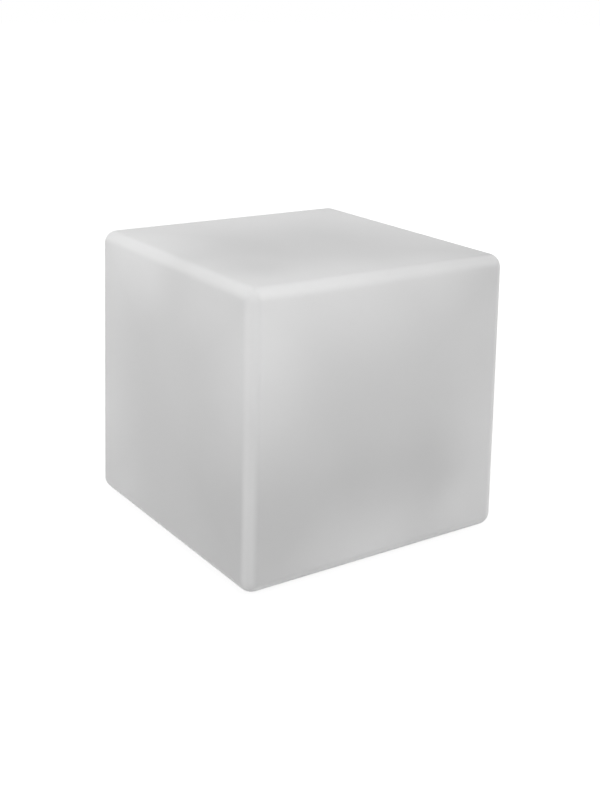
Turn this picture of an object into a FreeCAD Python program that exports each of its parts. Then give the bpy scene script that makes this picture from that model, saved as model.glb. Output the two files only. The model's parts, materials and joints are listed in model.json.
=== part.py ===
import FreeCAD, Part
import math
import os

# LED cube light: a hollow moulded cube that stands on four rubber feet, with a round sealed light module
# let into a well in its underside. Millimetres and degrees. The origin is on the ground at the middle of
# the cube, +Z is up, and the front face looks along -Y.

V = FreeCAD.Vector
UP = V(0, 0, 1)

# ---------------------------------------------------------------- driving dimensions

# Cube shell
base_width = 400.0          # across the sides at their foot
body_height = 380.0         # the shell alone, from its underside to its top face
side_draft = 0.9            # lean of each side, so the shell leaves its mould
edge_radius = 18.0          # every outer edge and corner
shell_wall = 4.0
foot_stand = 4.0            # height that the feet hold the shell off the ground

# Well in the underside, where the module sits
opening_radius = 70.0       # hole in the well's ceiling
seat_width = 20.0           # flat ring round that hole
well_depth = 17.0
well_draft = 5.0
well_rounding = 5.0         # rounding of the well's mouth

# Feet
foot_inset = 52.0           # from the base's edge to the middle of a foot
foot_radius = 15.0
foot_pocket = 2.0           # depth of the pocket that a foot sits in
foot_room = 0.3             # between a foot and its pocket
foot_taper = 1.0
foot_rounding = 1.5

# Module casing
gasket_thickness = 2.0
gasket_inset = 0.5          # inside the flange's edge
gasket_margin = 1.5         # outside the hole in the well's ceiling
flange_gap = 1.5            # between the flange and the well's side
flange_rounding = 1.0
flange_thickness = 5.0
panel_recess = 1.0          # the middle of the underside lies this much above its border
panel_radius = 63.0
floor_thickness = 3.0
cup_clearance = 2.0         # between the cup and the hole in the well's ceiling
cup_wall = 2.5
bay_height = 38.0           # from the module's floor to its rim
rim_width = 5.0
rim_height = 6.0

# Dome over the LEDs
dome_flange = 3.0
dome_radius = 56.0
dome_wall = 2.0
dome_straight = 7.0
dome_rise = 14.0

# Threads, screws and inserts
m4_radius = 1.95
m4_bore = 2.0
m4_clearance = 2.25
m4_head = (3.8, 2.4)        # radius and height
thread_reach = 9.0          # length of a machine screw that stands in its insert
insert_radius = 3.1
insert_length = 10.0
insert_room = 0.5           # left past the insert in its hole
insert_groove = 0.6         # depth of the groove round its middle
insert_groove_width = 2.0
boss_radius = 8.0
tapping_radius = 1.2        # core of a small plastic-tapping screw
tapping_clearance = 1.6
pilot_radius = 1.25
pilot_room = 0.6            # left past a short tapping screw
large_head = (2.8, 2.0)
middle_head = (2.6, 1.8)
small_head = (2.4, 1.6)

# Light
plate_radius = 55.5
plate_thickness = 2.0
board_thickness = 1.6
led_board_radius = 47.0
led_size = 5.0
led_height = 1.6
led_dish = 0.5              # depth of the round dish in each LED
led_rings = ((8, 18.0), (16, 37.0))     # how many LEDs, and the radius of their ring

# Cells
cell_radius = 9.2
cell_length = 65.0
cell_pitch = 19.0
cell_room = 0.1             # round a cell in its tray
cell_tip = (3.2, 0.8)       # radius and height of the raised contact
tray_wall = 2.0
tray_floor = 1.5
tray_height = 12.0
tray_end_room = 3.5         # beyond each end of the cells, for links and board
tray_middle_y = 30.0

# Control board
control_size = (40.0, 43.0)
control_middle = (0.0, -30.5)
control_stand = 5.0         # height of the board's posts

# Push switch
switch_place = (-36.0, -30.0)
switch_barrel = 6.0
switch_bezel = 9.0
switch_rear = 16.0          # from the module's floor to the barrel's end
button_radius = 3.94
button_travel = 1.8
button_stand = 2.4          # how far the button stands out of its bezel
button_guard = 1.0          # how far the guard ring stands past the button
guard_radius = 13.0
guard_wall = 2.0
spring_wire = 0.6
spring_turns = 5

# Charging socket and its cover
socket_place = (36.0, -26.0)
socket_barrel = 5.5
socket_bezel = 8.0
socket_bore = 2.85
socket_depth = 10.4
socket_pin_radius = 1.05
land_size = 25.0            # square frame round the socket, which the cover closes against
land_wall = 2.0
cover_thickness = 2.0
cover_gap = 0.2             # left between the closed cover's pad and what it closes against
hinge_pin_radius = 1.0
hinge_press = 0.02          # round the pin, in the ears
hinge_clearance = 0.06      # round the pin, in the cover
knuckle_radius = 2.6
knuckle_width = 13.0
ear_width = 3.0
ear_gap = 0.3
ear_web = 1.6               # thickness of the plate that joins the two ears

# Vent
vent_barrel = 5.0
vent_bore = 2.5
vent_cap = 7.5
vent_cap_height = 2.5
vent_reach = 7.0            # of its barrel above the module's floor
vent_cap_wall = 1.2
vent_slot = 1.2
vent_slot_web = 0.5         # left between the slots and the panel
membrane_thickness = 0.4
vent_nut_size = 13.0
nut_thickness = 3.0

# Leads
lead_radius = 0.8
lead_bend = 3.0
ribbon_size = (6.0, 1.0)

# Fits
slip = 0.1                  # between a barrel and its hole
bury = 0.5                  # how far a moulded post or ring starts inside the floor that carries it
past = 1.0                  # how far a cutter runs past the face that it opens

# ---------------------------------------------------------------- places worked out from them

lean = math.tan(math.radians(side_draft))
shell_low = foot_stand
pocket_top = shell_low + foot_pocket
well_ceiling = shell_low + well_depth
ceiling_radius = opening_radius + seat_width
mouth_radius = ceiling_radius + well_depth * math.tan(math.radians(well_draft))
seat_middle = opening_radius + seat_width / 2
foot_reach = base_width / 2 - foot_inset

flange_top = well_ceiling - gasket_thickness
flange_low = flange_top - flange_thickness
flange_radius = ceiling_radius - flange_gap
panel_low = flange_low + panel_recess
floor_top = panel_low + floor_thickness
cup_radius = opening_radius - cup_clearance
cup_inner = cup_radius - cup_wall
rim_top = floor_top + bay_height
rim_inner = cup_radius - rim_width
dome_boss_radius = 4.2
dome_boss_reach = cup_inner - dome_boss_radius + 0.2

plate_low = rim_top - 5.0
plate_top = plate_low + plate_thickness
led_board_top = plate_top + board_thickness
plate_post_reach = plate_radius - 4.5
plate_post_turns = (20.0, 160.0, 240.0, 300.0)

tray_half_length = cell_length / 2 + tray_end_room
cell_middle_z = floor_top + tray_floor + cell_radius + cell_room
cell_rows = (tray_middle_y - cell_pitch / 2, tray_middle_y + cell_pitch / 2)
clamp_post_reach = tray_half_length + tray_wall + 4.0
clamp_post_radius = 3.5
clamp_seat = cell_middle_z + cell_radius + 0.2

control_low = floor_top + control_stand
control_top = control_low + board_thickness

module_turns = [30.0 + 60.0 * step for step in range(6)]
dome_turns = [30.0 + 60.0 * step for step in range(6)]

hinge_y = socket_place[1] + land_size / 2 + knuckle_radius
hinge_length = knuckle_width + 2 * (ear_gap + ear_width)
seal_thickness = 0.8
socket_low = panel_low - seal_thickness - 1.6
pad_thickness = 1.4
land_low = socket_low - 1.4
pad_top = land_low - cover_gap
cover_top = pad_top - pad_thickness
hinge_z = cover_top

switch_seal_thickness = 1.0
bezel_thickness = 2.0
switch_low = panel_low - switch_seal_thickness - bezel_thickness
guard_low = switch_low - button_stand - button_guard

# ---------------------------------------------------------------- shapes used by many pieces


def disc(radius, low, high, place=(0.0, 0.0)):
    """Upright cylinder between two heights."""
    return Part.makeCylinder(radius, high - low, V(place[0], place[1], low))


def ring(outer, inner, low, high, place=(0.0, 0.0)):
    """Upright ring between two heights."""
    return disc(outer, low, high, place).cut(disc(inner, low - past, high + past, place))


def block(size_x, size_y, low, high, place=(0.0, 0.0)):
    """Upright box between two heights, centred on a place."""
    corner = V(place[0] - size_x / 2, place[1] - size_y / 2, low)
    return Part.makeBox(size_x, size_y, high - low, corner)


def outline(corners, upright=True):
    """Closed wire through (across, up, rounding) corners, each rounding a tangent arc."""
    points = []
    for across, along, rounding in corners:
        point = V(across, 0, along) if upright else V(across, along, 0)
        points.append((point, rounding))
    arrivals = []
    leavings = []
    arcs = []
    for index, (here, rounding) in enumerate(points):
        back = points[index - 1][0] - here
        onward = points[(index + 1) % len(points)][0] - here
        if rounding == 0:
            arrivals.append(here)
            leavings.append(here)
            arcs.append(None)
            continue
        back.normalize()
        onward.normalize()
        half = back.getAngle(onward) / 2
        reach = rounding / math.tan(half)
        inward = (back + onward).normalize()
        middle = here + inward * (rounding / math.sin(half) - rounding)
        arrive = here + back * reach
        leave = here + onward * reach
        arrivals.append(arrive)
        leavings.append(leave)
        arcs.append(Part.Arc(arrive, middle, leave).toShape())
    edges = []
    for index, arc in enumerate(arcs):
        if arc:
            edges.append(arc)
        start = leavings[index]
        end = arrivals[(index + 1) % len(points)]
        if start.distanceToPoint(end) > 1e-6:
            edges.append(Part.LineSegment(start, end).toShape())
    return Part.Wire(edges)


def turned(corners, place=(0.0, 0.0)):
    """Solid of revolution about the upright axis through a place."""
    solid = Part.Face(outline(corners)).revolve(V(0, 0, 0), UP, 360)
    solid.translate(V(place[0], place[1], 0))
    return solid


def slab(size_x, size_y, rounding, low, high, place=(0.0, 0.0)):
    """Flat plate with rounded corners."""
    x = size_x / 2
    y = size_y / 2
    corners = [(-x, -y, rounding), (x, -y, rounding), (x, y, rounding), (-x, y, rounding)]
    plate = Part.Face(outline(corners, upright=False)).extrude(V(0, 0, high - low))
    plate.translate(V(place[0], place[1], low))
    return plate


def hexagon(across_flats, low, high, place=(0.0, 0.0)):
    """Upright hexagonal prism."""
    reach = across_flats / math.sqrt(3)
    points = []
    for step in range(7):
        turn = math.radians(60 * step)
        points.append(V(place[0] + reach * math.cos(turn), place[1] + reach * math.sin(turn), low))
    return Part.Face(Part.makePolygon(points)).extrude(V(0, 0, high - low))


def polar(reach, turn):
    """Place at a reach and a turn from the middle."""
    return (reach * math.cos(math.radians(turn)), reach * math.sin(math.radians(turn)))


def circles_at(shape, radius, height):
    """Round edges of one radius that lie at one height."""
    found = []
    for edge in shape.Edges:
        if edge.Degenerated:
            continue
        curve = edge.Curve
        if not isinstance(curve, Part.Circle):
            continue
        if abs(curve.Radius - radius) < 0.01 and abs(curve.Center.z - height) < 0.01:
            found.append(edge)
    return found


def group(solids):
    """Several separate solids kept together in one node."""
    return Part.makeCompound(solids)


def pan_screw(place, seat, length, core, head, facing=1):
    """Pan-head screw with a hexagonal recess. Facing is +1 for a head that points up, -1 for down."""
    head_radius, head_height = head
    solid = turned([
        (0, -length, 0),
        (core, -length, 0),
        (core, 0, 0),
        (head_radius, 0, 0),
        (head_radius, head_height * 0.55, 0),
        (head_radius * 0.8, head_height, 0),
        (0, head_height, 0),
    ])
    recess = hexagon(head_radius * 0.72, head_height * 0.45, head_height + past)
    solid = solid.cut(recess)
    if facing < 0:
        solid.rotate(V(0, 0, 0), V(1, 0, 0), 180)
    solid.translate(V(place[0], place[1], seat))
    return solid


# ---------------------------------------------------------------- cube shell and feet


def cube_body(inset):
    """Drafted cube with all its edges rounded, its skin moved inwards by inset."""
    push = inset * math.hypot(1, lean)
    squares = []
    for level in (inset, body_height - inset):
        half = base_width / 2 - level * lean - push
        corners = [V(-half, -half, level), V(half, -half, level), V(half, half, level), V(-half, half, level)]
        squares.append(Part.makePolygon(corners + corners[:1]))
    body = Part.makeLoft(squares, True, True)
    body = body.makeFillet(edge_radius - inset, body.Edges)
    body.translate(V(0, 0, shell_low))
    return body


def foot_places():
    """Middles of the four feet."""
    return [(x * foot_reach, y * foot_reach) for x in (-1, 1) for y in (-1, 1)]


def cube_shell():
    """Hollow shell, one even wall that also lines the well, its bosses and the foot pockets."""
    wall_radius = ceiling_radius + shell_wall
    liner = Part.makeCone(mouth_radius + shell_wall, wall_radius, well_depth + shell_wall, V(0, 0, shell_low))
    liner = liner.makeFillet(well_rounding, circles_at(liner, wall_radius, well_ceiling + shell_wall))
    added = [liner]
    removed = [
        Part.makeCone(mouth_radius, ceiling_radius, well_depth, V(0, 0, shell_low)),
        disc(opening_radius, shell_low, well_ceiling + shell_wall + past),
    ]
    insert_hole = insert_length + insert_room
    for turn in module_turns:
        place = polar(seat_middle, turn)
        added.append(disc(boss_radius, well_ceiling, well_ceiling + insert_length + shell_wall, place))
        removed.append(disc(insert_radius, well_ceiling - past, well_ceiling + insert_hole, place))
    pocket = foot_radius + foot_room
    for place in foot_places():
        added.append(disc(pocket + shell_wall, shell_low + bury, pocket_top + shell_wall, place))
        added.append(disc(boss_radius, shell_low + bury, pocket_top + insert_length + shell_wall, place))
        removed.append(disc(pocket, shell_low - past, pocket_top, place))
        removed.append(disc(insert_radius, pocket_top - past, pocket_top + insert_hole, place))
    shell = cube_body(0).cut(cube_body(shell_wall))
    shell = shell.fuse(added).removeSplitter()
    shell = shell.cut(removed)
    mouth = circles_at(shell, mouth_radius, shell_low)
    return shell.makeFillet(well_rounding, mouth)


def threaded_insert(place, low):
    """Brass insert with a groove that keeps it in its boss."""
    groove_low = low + insert_length / 2 - insert_groove_width / 2
    groove_high = groove_low + insert_groove_width
    groove = insert_radius - insert_groove
    return turned([
        (m4_bore, low, 0),
        (insert_radius, low, 0),
        (insert_radius, groove_low, 0),
        (groove, groove_low, 0),
        (groove, groove_high, 0),
        (insert_radius, groove_high, 0),
        (insert_radius, low + insert_length, 0),
        (m4_bore, low + insert_length, 0),
    ], place)


def module_inserts():
    return group([threaded_insert(polar(seat_middle, turn), well_ceiling) for turn in module_turns])


def foot_inserts():
    return group([threaded_insert(place, pocket_top) for place in foot_places()])


foot_washer_radius = 6.2
foot_washer_thickness = 1.0
washer_room = 0.3           # between the washer and the hole in the foot
foot_web = 2.0              # rubber left between the washer and the pocket
foot_washer_top = pocket_top - foot_web
foot_washer_low = foot_washer_top - foot_washer_thickness


def rubber_feet():
    """Round feet with a stepped hole for washer and screw."""
    feet = []
    for place in foot_places():
        feet.append(turned([
            (m4_clearance, foot_washer_top, 0),
            (foot_washer_radius + washer_room, foot_washer_top, 0),
            (foot_washer_radius + washer_room, 0, 0),
            (foot_radius - foot_taper, 0, foot_rounding),
            (foot_radius, pocket_top, 0),
            (m4_clearance, pocket_top, 0),
        ], place))
    return group(feet)


def foot_washers():
    return group([
        ring(foot_washer_radius, m4_clearance, foot_washer_low, foot_washer_top, place)
        for place in foot_places()
    ])


def foot_screws():
    length = foot_web + foot_washer_thickness + thread_reach
    return group([
        pan_screw(place, foot_washer_low, length, m4_radius, m4_head, -1)
        for place in foot_places()
    ])


# ---------------------------------------------------------------- module casing

screw_seal_radius = 4.2
screw_seal_thickness = 0.8
counterbore = m4_head[1] + screw_seal_thickness
groove_inner = rim_inner + 1.6
groove_outer = cup_radius - 1.2
groove_depth = 1.4
seal_room = 0.3             # round a seal in its groove or counterbore
gusset_size = (6.0, 1.6)
gusset_bury = 1.7           # how far a gusset runs into its boss
gusset_height = 14.0
dome_screw_length = 14.0
plate_screw_length = 9.0
plate_post_radii = (4.2, 3.4)
clamp_screw_length = 10.0
board_screw_length = 7.0
board_post_radius = 3.0
board_post_inset = 3.5
land_rounding = 3.0
pipe_place = (0.0, -42.0)
pipe_radius = 1.5
pipe_stand = 0.5            # how far the pipe stands out of the panel
pipe_step = 1.0             # width and height of the step that stops it in its hole
vent_place = (0.0, 0.0)


def board_corners():
    """Middles of the control board's four screws."""
    reach_x = control_size[0] / 2 - board_post_inset
    reach_y = control_size[1] / 2 - board_post_inset
    corners = []
    for x in (-1, 1):
        for y in (-1, 1):
            corners.append((control_middle[0] + x * reach_x, control_middle[1] + y * reach_y))
    return corners


def plate_posts():
    """Middles of the four posts under the heat plate."""
    return [polar(plate_post_reach, turn) for turn in plate_post_turns]


def clamp_posts():
    """Middles of the two posts that carry the battery clamp."""
    return [(side * clamp_post_reach, tray_middle_y) for side in (-1, 1)]


def flange_gasket():
    """Flat ring between the flange and the well's ceiling, with its screw holes."""
    gasket = ring(flange_radius - gasket_inset, opening_radius + gasket_margin, flange_top, well_ceiling)
    holes = []
    for turn in module_turns:
        holes.append(disc(m4_clearance, flange_top - past, well_ceiling + past, polar(seat_middle, turn)))
    return gasket.cut(holes)


def module_base():
    """Moulded dish: flange, cup, rim with a seal groove, and everything that its floor carries."""
    dish = turned([
        (0, panel_low, 0),
        (panel_radius, panel_low, 0),
        (panel_radius + panel_recess, flange_low, 0),
        (flange_radius, flange_low, flange_rounding),
        (flange_radius, flange_top, 0),
        (cup_radius, flange_top, 0),
        (cup_radius, rim_top, 0),
        (rim_inner, rim_top, 0),
        (rim_inner, rim_top - rim_height, 0),
        (cup_inner, rim_top - rim_height - cup_wall, 0),
        (cup_inner, floor_top, 0),
        (0, floor_top, 0),
    ])
    added = []
    removed = [ring(groove_outer, groove_inner, rim_top - groove_depth, rim_top + past)]
    foot = floor_top - bury
    for turn in dome_turns:
        place = polar(dome_boss_reach, turn)
        added.append(disc(dome_boss_radius, foot, rim_top, place))
        middle = dome_boss_reach - dome_boss_radius - gusset_size[0] / 2 + gusset_bury
        gusset = block(gusset_size[0], gusset_size[1], foot, floor_top + gusset_height, (middle, 0))
        gusset.rotate(V(0, 0, 0), UP, turn)
        added.append(gusset)
        removed.append(disc(pilot_radius, rim_top - dome_screw_length, rim_top + past, place))
    for x, y in plate_posts():
        wide, narrow = plate_post_radii
        added.append(Part.makeCone(wide, narrow, plate_low - foot, V(x, y, foot)))
        removed.append(disc(pilot_radius, plate_low - plate_screw_length, plate_low + past, (x, y)))
    for place in clamp_posts():
        added.append(disc(clamp_post_radius, foot, clamp_seat, place))
        removed.append(disc(pilot_radius, clamp_seat - clamp_screw_length, clamp_seat + past, place))
    board_hole_low = control_top - board_screw_length - pilot_room
    for place in board_corners():
        added.append(disc(board_post_radius, foot, control_low, place))
        removed.append(disc(pilot_radius, board_hole_low, control_low + past, place))
    below = flange_low - past
    for turn in module_turns:
        place = polar(seat_middle, turn)
        removed.append(disc(m4_clearance, below, flange_top + past, place))
        removed.append(disc(screw_seal_radius + seal_room, below, flange_low + counterbore, place))
    floor_holes = (
        (switch_barrel, switch_place),
        (socket_barrel, socket_place),
        (vent_barrel, vent_place),
        (pipe_radius, pipe_place),
    )
    for radius, place in floor_holes:
        removed.append(disc(radius + slip, panel_low - past, floor_top + past, place))
    return dish.fuse(added).removeSplitter().cut(removed)


def switch_guard():
    """Ring bonded to the panel round the button, so that nothing flat can press it."""
    return ring(guard_radius, guard_radius - guard_wall, guard_low, panel_low, switch_place)


def port_frame():
    """Square frame bonded to the panel round the socket, with two rounded ears for the cover's pin."""
    inner = land_size - 2 * land_wall
    frame = slab(land_size, land_size, land_rounding, land_low, panel_low, socket_place)
    frame = frame.cut(slab(inner, inner, land_rounding - 1, land_low - past, panel_low + past, socket_place))
    middle = (socket_place[0], hinge_y)
    added = [block(hinge_length, 2 * knuckle_radius, panel_low - ear_web, panel_low, middle)]
    for side in (-1, 1):
        inner_face = knuckle_width / 2 + ear_gap
        outer_x = socket_place[0] + side * (inner_face + ear_width / 2) + ear_width / 2
        profile = outline([
            (-knuckle_radius, hinge_z - knuckle_radius, knuckle_radius * 0.98),
            (knuckle_radius, hinge_z - knuckle_radius, knuckle_radius * 0.98),
            (knuckle_radius, panel_low, 0),
            (-knuckle_radius, panel_low, 0),
        ])
        ear = Part.Face(profile).extrude(V(0, ear_width, 0))
        ear.rotate(V(0, 0, 0), UP, 90)
        ear.translate(V(outer_x, hinge_y, 0))
        added.append(ear)
    start = V(socket_place[0] - hinge_length, hinge_y, hinge_z)
    bore = Part.makeCylinder(hinge_pin_radius + hinge_press, 2 * hinge_length, start, V(1, 0, 0))
    return frame.fuse(added).removeSplitter().cut(bore)


def module_screws():
    seat = flange_low + counterbore - screw_seal_thickness
    length = well_ceiling - seat + thread_reach
    return group([
        pan_screw(polar(seat_middle, turn), seat, length, m4_radius, m4_head, -1)
        for turn in module_turns
    ])


def screw_seals():
    top = flange_low + counterbore
    return group([
        ring(screw_seal_radius, m4_clearance, top - screw_seal_thickness, top, polar(seat_middle, turn))
        for turn in module_turns
    ])


def dome_seal():
    return ring(groove_outer - seal_room, groove_inner + seal_room, rim_top - groove_depth, rim_top)


def diffuser_dome():
    """Frosted dome: flat flange, short straight side and a shallow crown."""
    low = rim_top
    shoulder = low + dome_flange + dome_straight
    crown = shoulder + dome_rise
    inside = dome_radius - dome_wall
    outer_bow = (dome_radius ** 2 + dome_rise ** 2) / (2 * dome_rise)
    inner_rise = dome_rise - dome_wall
    inner_bow = (inside ** 2 + inner_rise ** 2) / (2 * inner_rise)

    def bow_point(bow, top, span):
        """Point half-way out on an arc."""
        across = span / 2
        return V(across, 0, top - bow + math.sqrt(bow ** 2 - across ** 2))

    flange_high = low + dome_flange
    ceiling = crown - dome_wall
    outer_start = V(dome_radius, 0, shoulder)
    outer_middle = bow_point(outer_bow, crown, dome_radius)
    inner_middle = bow_point(inner_bow, ceiling, inside)
    inner_end = V(inside, 0, shoulder)
    edges = [
        Part.LineSegment(V(inside, 0, low), V(cup_radius, 0, low)).toShape(),
        Part.LineSegment(V(cup_radius, 0, low), V(cup_radius, 0, flange_high)).toShape(),
        Part.LineSegment(V(cup_radius, 0, flange_high), V(dome_radius, 0, flange_high)).toShape(),
        Part.LineSegment(V(dome_radius, 0, flange_high), outer_start).toShape(),
        Part.Arc(outer_start, outer_middle, V(0, 0, crown)).toShape(),
        Part.LineSegment(V(0, 0, crown), V(0, 0, ceiling)).toShape(),
        Part.Arc(V(0, 0, ceiling), inner_middle, inner_end).toShape(),
        Part.LineSegment(inner_end, V(inside, 0, low)).toShape(),
    ]
    dome = Part.Face(Part.Wire(edges)).revolve(V(0, 0, 0), UP, 360)
    holes = []
    for turn in dome_turns:
        holes.append(disc(tapping_clearance, low - past, flange_high + past, polar(dome_boss_reach, turn)))
    return dome.cut(holes)


def dome_screws():
    seat = rim_top + dome_flange
    return group([
        pan_screw(polar(dome_boss_reach, turn), seat, dome_screw_length, tapping_radius, large_head)
        for turn in dome_turns
    ])


def vent_body():
    """Breather: slotted cap outside, threaded barrel through the floor."""
    cap_low = panel_low - vent_cap_height
    slot_low = cap_low + vent_cap_wall
    top = floor_top + vent_reach
    body = turned([
        (0, cap_low, 0),
        (vent_cap, cap_low, 1.0),
        (vent_cap, panel_low, 0),
        (vent_barrel, panel_low, 0),
        (vent_barrel, top, 0),
        (vent_bore, top, 0),
        (vent_bore, slot_low, 0),
        (0, slot_low, 0),
    ], vent_place)
    slots = []
    for step in range(4):
        slot = block(3 * vent_cap, vent_slot, slot_low, panel_low - vent_slot_web, vent_place)
        slot.rotate(V(vent_place[0], vent_place[1], 0), UP, 45 * step)
        slots.append(slot)
    return body.cut(slots)


def vent_membrane():
    """Thin disc across the barrel, which lets air through and holds water back."""
    low = floor_top + vent_reach - 2.0
    return disc(vent_bore, low, low + membrane_thickness, vent_place)


def vent_nut():
    nut = hexagon(vent_nut_size, floor_top, floor_top + nut_thickness, vent_place)
    hole = disc(vent_barrel + slip / 2, floor_top - past, floor_top + nut_thickness + past, vent_place)
    return nut.cut(hole)


def light_pipe():
    """Clear stepped pin that shows the charge light through the floor."""
    low = panel_low - pipe_stand
    step = floor_top + pipe_step
    high = control_low - 1.0
    return turned([
        (0, low, 0),
        (pipe_radius, low, 0.4),
        (pipe_radius, floor_top, 0),
        (pipe_radius + pipe_step, floor_top, 0),
        (pipe_radius + pipe_step, step, 0),
        (pipe_radius, step, 0),
        (pipe_radius, high, 0),
        (0, high, 0),
    ], pipe_place)


# ---------------------------------------------------------------- light

led_board_screw_reach = 28.0
ribbon_hole = 5.0
ribbon_y = -27.0
ribbon_header = (9.0, 4.6)
led_header_y = -10.0
led_header_height = 4.0
header_wall = 0.8
header_floor = 3.0
receiver_size = (7.0, 5.6)
receiver_height = 4.0
receiver_lens = 2.4


def led_board_screw_places():
    return [polar(led_board_screw_reach, turn) for turn in (30.0, 150.0, 210.0, 330.0)]


def heat_plate():
    """Aluminium disc that carries the LED board and spreads its heat."""
    low = plate_low - past
    high = plate_top + past
    holes = [disc(tapping_clearance, low, high, place) for place in plate_posts()]
    holes += [disc(pilot_radius, low, high, place) for place in led_board_screw_places()]
    holes.append(disc(ribbon_hole, low, high, (0, ribbon_y)))
    return disc(plate_radius, plate_low, plate_top).cut(holes)


def heat_plate_screws():
    return group([
        pan_screw(place, plate_top, plate_screw_length, tapping_radius, middle_head)
        for place in plate_posts()
    ])


def led_board():
    """Round circuit board."""
    low = plate_top - past
    high = led_board_top + past
    holes = [disc(tapping_clearance, low, high, place) for place in led_board_screw_places()]
    holes.append(disc(ribbon_hole, low, high, (0, ribbon_y)))
    return disc(led_board_radius, plate_top, led_board_top).cut(holes)


def led_places():
    """Place and turn of every LED."""
    places = []
    for count, reach in led_rings:
        for step in range(count):
            turn = 360.0 / count * (step + 0.5)
            places.append((polar(reach, turn), turn))
    return places


def leds():
    """Square LED packages with a round dish for the light."""
    packages = []
    top = led_board_top + led_height
    for place, turn in led_places():
        package = block(led_size, led_size, led_board_top, top, place)
        dish = disc(led_size * 0.38, top - led_dish, top + past, place)
        package = package.cut(dish)
        package.rotate(V(place[0], place[1], 0), UP, turn)
        packages.append(package)
    return group(packages)


def led_board_screws():
    length = board_thickness + plate_thickness
    return group([
        pan_screw(place, led_board_top, length, tapping_radius, small_head)
        for place in led_board_screw_places()
    ])


def ir_receiver():
    """Remote receiver with its round lens turned up."""
    top = led_board_top + receiver_height
    body = block(receiver_size[0], receiver_size[1], led_board_top, top)
    lens = Part.makeSphere(receiver_lens, V(0, 0, top))
    return body.fuse(lens)


def open_header(size_x, size_y, low, height, place):
    """Plug socket, open at the top."""
    body = block(size_x, size_y, low, low + height, place)
    inner_x = size_x - 2 * header_wall
    inner_y = size_y - 2 * header_wall
    return body.cut(block(inner_x, inner_y, low + header_floor, low + height + past, place))


def led_header():
    size_x, size_y = ribbon_header
    return open_header(size_x, size_y, led_board_top, led_header_height, (0, led_header_y))


# ---------------------------------------------------------------- battery

tray_length = 2 * (tray_half_length + tray_wall)
tray_width = 2 * (cell_radius + cell_room) + cell_pitch + 2 * tray_wall
tray_rounding = 3.0
tray_rib = 2.0
tray_rib_places = (-24.0, 0.0, 24.0)


def lying(radius, length, row, middle_z):
    """Cylinder along X over one cell's row."""
    return Part.makeCylinder(radius, length, V(-length / 2, row, middle_z), V(1, 0, 0))


def battery_tray():
    """Open tray with cross ribs hollowed to the cells."""
    low = floor_top + tray_floor
    high = floor_top + tray_height
    place = (0, tray_middle_y)
    inner_x = tray_length - 2 * tray_wall
    inner_y = tray_width - 2 * tray_wall
    tray = slab(tray_length, tray_width, tray_rounding, floor_top, high, place)
    tray = tray.cut(slab(inner_x, inner_y, tray_rounding - tray_wall, low, high + past, place))
    rib_width = tray_width - tray_wall
    ribs = []
    for x in tray_rib_places:
        ribs.append(block(tray_rib, rib_width, low - bury, high - tray_rib, (x, tray_middle_y)))
    tray = tray.fuse(ribs).removeSplitter()
    room = [lying(cell_radius + cell_room, inner_x - past, row, cell_middle_z) for row in cell_rows]
    return tray.cut(room)


def cell(row):
    """Round cell with a rolled groove and a raised contact at one end."""
    radius = cell_radius
    tip_radius, tip_height = cell_tip
    length = cell_length - tip_height
    solid = turned([
        (0, 0, 0),
        (radius, 0, 0.8),
        (radius, length - 5.0, 0),
        (radius - 0.8, length - 4.2, 0),
        (radius - 0.8, length - 3.6, 0),
        (radius, length - 2.8, 0),
        (radius, length, 0.8),
        (tip_radius, length, 0),
        (tip_radius, cell_length, 0),
        (0, cell_length, 0),
    ])
    solid.rotate(V(0, 0, 0), V(0, 1, 0), 90)
    solid.translate(V(-cell_length / 2, row, cell_middle_z))
    return solid


def battery_cells():
    return group([cell(row) for row in cell_rows])


link_size = (0.3, 26.0, 7.0)
protection_x = cell_length / 2 + 1.8
protection_size = (1.2, 34.0, 14.0)
protection_top = floor_top + tray_floor + protection_size[2]
chip_stand = 1.1            # how far the small chips stand off the protection board
keel_size = (44.0, 7.0)
keel_drop = 3.0             # from the keel's foot to the cells' middle height
clamp_width = 9.0
clamp_thickness = 2.5


def cell_links():
    """Nickel strips that join the two cells at each end."""
    thickness, width, height = link_size
    links = []
    for start in (-cell_length / 2 - thickness, cell_length / 2):
        corner = V(start, tray_middle_y - width / 2, cell_middle_z - height / 2)
        links.append(Part.makeBox(thickness, width, height, corner))
    return group(links)


def protection_board():
    """Small board on edge at the end of the cells, standing on the tray's floor."""
    thickness, width, height = protection_size
    corner = V(protection_x, tray_middle_y - width / 2, protection_top - height)
    return Part.makeBox(thickness, width, height, corner)


def protection_chips():
    chips = []
    for offset, size in ((-8.0, 4.4), (0.0, 3.0), (7.0, 4.4)):
        corner = V(protection_x - chip_stand, tray_middle_y + offset - size / 2, cell_middle_z - 2.0)
        chips.append(Part.makeBox(chip_stand, size, 3.0, corner))
    return group(chips)


def battery_clamp():
    """Bar along the valley between the cells, with a keel that presses on both."""
    place = (0, tray_middle_y)
    top = clamp_seat + clamp_thickness
    bar = slab(2 * clamp_post_reach + clamp_width, clamp_width, 3.5, clamp_seat, top, place)
    keel = block(keel_size[0], keel_size[1], cell_middle_z + keel_drop, clamp_seat + bury, place)
    clear = cell_radius + cell_room / 2
    keel = keel.cut([lying(clear, cell_length, row, cell_middle_z) for row in cell_rows])
    holes = [disc(tapping_clearance, clamp_seat - past, top + past, post) for post in clamp_posts()]
    return bar.fuse(keel).removeSplitter().cut(holes)


def clamp_screws():
    seat = clamp_seat + clamp_thickness
    return group([
        pan_screw(post, seat, clamp_screw_length, tapping_radius, middle_head)
        for post in clamp_posts()
    ])


# ---------------------------------------------------------------- control board

header_height = 6.0


def on_board(x, y):
    """Place on the control board, from its middle."""
    return (control_middle[0] + x, control_middle[1] + y)


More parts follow.
